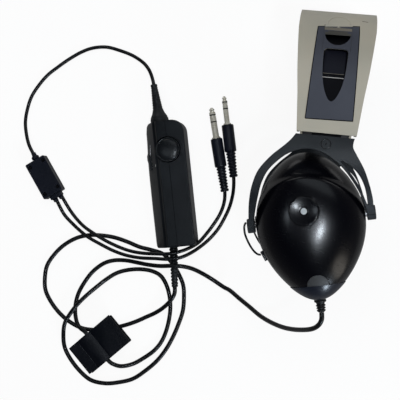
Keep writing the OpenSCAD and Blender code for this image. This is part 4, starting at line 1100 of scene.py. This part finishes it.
plug_1_line = ((-88.19, -50.89, 6), (-116.29, 29.71, 6))
plug_2_line = ((-81.99, -34.99, 6), (-105.69, 43.21, 6))
declare_cord("main_cord", "object", foot, leaf)
declare_cord("splitter_cord", "fitting", *splitter_pieces)
grip = plug_grip("headphone_grip", *plug_1_line, 25, 29, "plug_1_handle")
declare_cord("headphone_cord", "plug", grip, nodes["plug_1_contacts"])
grip = plug_grip("microphone_grip", *plug_2_line, 25.4, 27.6, "plug_2_handle")
declare_cord("microphone_cord", "plug", grip, nodes["plug_2_contacts"])
plug_bands("headphone_plug", *plug_1_line, (70.4, 77.4), 3.17)
plug_bands("microphone_plug", *plug_2_line, (68.6, 75.2), 2.61)


# ---- Table, lamps and room ----

def lay_table():
    made = made_of("table_top", [(-4, -4, 0), (4, -4, 0), (4, 4, 0), (-4, 4, 0)], [(0, 1, 2, 3)])
    paint = Finish("table_white", Base_Color=(0.9, 0.9, 0.9), Roughness=0.8, Specular_IOR_Level=0.1)
    dim = paint.node("Emission", {}, {"Color": (1, 1, 1), "Strength": 0.25})
    seen = paint.node("LightPath", {}, {}, "Is Camera Ray")
    mirrored = paint.node("LightPath", {}, {}, "Is Glossy Ray")
    through = paint.node("LightPath", {}, {}, "Is Transmission Ray")
    light = paint.node("Emission", {}, {"Color": (1, 1, 1), "Strength": 1.0})
    lit = paint.node("MixShader", {}, {0: mirrored.largest(through) * 0.85,
                     1: Field(paint, paint.shader.outputs[0]), 2: dim})
    paint.join(paint.node("MixShader", {}, {0: seen * 0.9, 1: lit, 2: light}), paint.out.inputs[0])
    paint.on(made)


def hang_lamp(name, at, aim, size, watts, tint=(1, 1, 1), mirrored=True):
    data = bpy.data.lights.new(name, "AREA")
    data.shape = "ELLIPSE" if mirrored else "RECTANGLE"
    data.size, data.size_y = size
    data.energy = watts
    data.color = tint
    lamp = bpy.data.objects.new(name, data)
    lamp.location = at
    lamp.rotation_euler = (Vector(aim) - Vector(at)).to_track_quat("-Z", "Y").to_euler()
    lamp.visible_glossy = mirrored
    bpy.context.scene.collection.objects.link(lamp)


def toward(degrees_up, x, y, far):
    """A place far from the headset, at a height in degrees, over the direction x, y."""
    rise, flat = math.sin(math.radians(degrees_up)), math.cos(math.radians(degrees_up)) / math.hypot(x, y)
    return Vector((x * flat, y * flat, rise)) * far + at_headset


lay_table()
at_headset = Vector(headset_at) * mm
centre = Vector((-0.06, -0.04, 0.08))
hang_lamp("soft_above", (-0.08, 0.45, 1.7), centre, (1.4, 1.4), 14.5, mirrored=False)
hang_lamp("soft_left", (-1.2, 0.7, 1.2), centre, (1.0, 1.0), 4.5, (0.97, 0.98, 1), mirrored=False)
hang_lamp("soft_right", (1.0, -0.9, 1.1), centre, (0.9, 0.9), 4, (1, 0.98, 0.95), mirrored=False)
hang_lamp("spot_over_cap", toward(76.8, 0.89, -0.45, 1.5), at_headset, (0.11, 0.11), 4, (0.84, 0.92, 1))
hang_lamp("spot_left", toward(72, -0.95, -0.25, 1.5), at_headset, (0.2, 0.2), 0.5, (0.8, 0.9, 1))
hang_lamp("strip_warm", toward(26, 0.8, -0.45, 1.3), at_headset, (0.3, 0.9), 1.5, (1, 0.93, 0.82))
hang_lamp("strip_cool", toward(23, 0.62, -0.8, 1.3), at_headset, (0.2, 0.3), 5, (0.75, 0.87, 1))
for row, x in enumerate((-0.62, 0.6)):
    hang_lamp(f"panel_{row + 1}", toward(16, x, 1, 1.4), at_headset, (0.7, 0.9), 1.6)
hang_lamp("panel_high", toward(58, 0.1, 1, 1.4), at_headset, (1.3, 0.5), 1.2, (0.84, 0.93, 1))

room = bpy.data.worlds.new("studio")
room.use_nodes = True
sky = room.node_tree.nodes
ramp = sky.new("ShaderNodeValToRGB")
ramp.color_ramp.elements[0].color = (0.13, 0.13, 0.135, 1)
ramp.color_ramp.elements[1].color = (0.016, 0.016, 0.02, 1)
ramp.color_ramp.elements[0].position, ramp.color_ramp.elements[1].position = 0.02, 0.75
height = sky.new("ShaderNodeSeparateXYZ")
ways = sky.new("ShaderNodeTexCoord")
room.node_tree.links.new(ways.outputs["Generated"], height.inputs[0])
room.node_tree.links.new(height.outputs["Z"], ramp.inputs[0])
room.node_tree.links.new(ramp.outputs[0], sky["Background"].inputs["Color"])
bpy.context.scene.world = room
bpy.context.scene.view_settings.view_transform = "Standard"
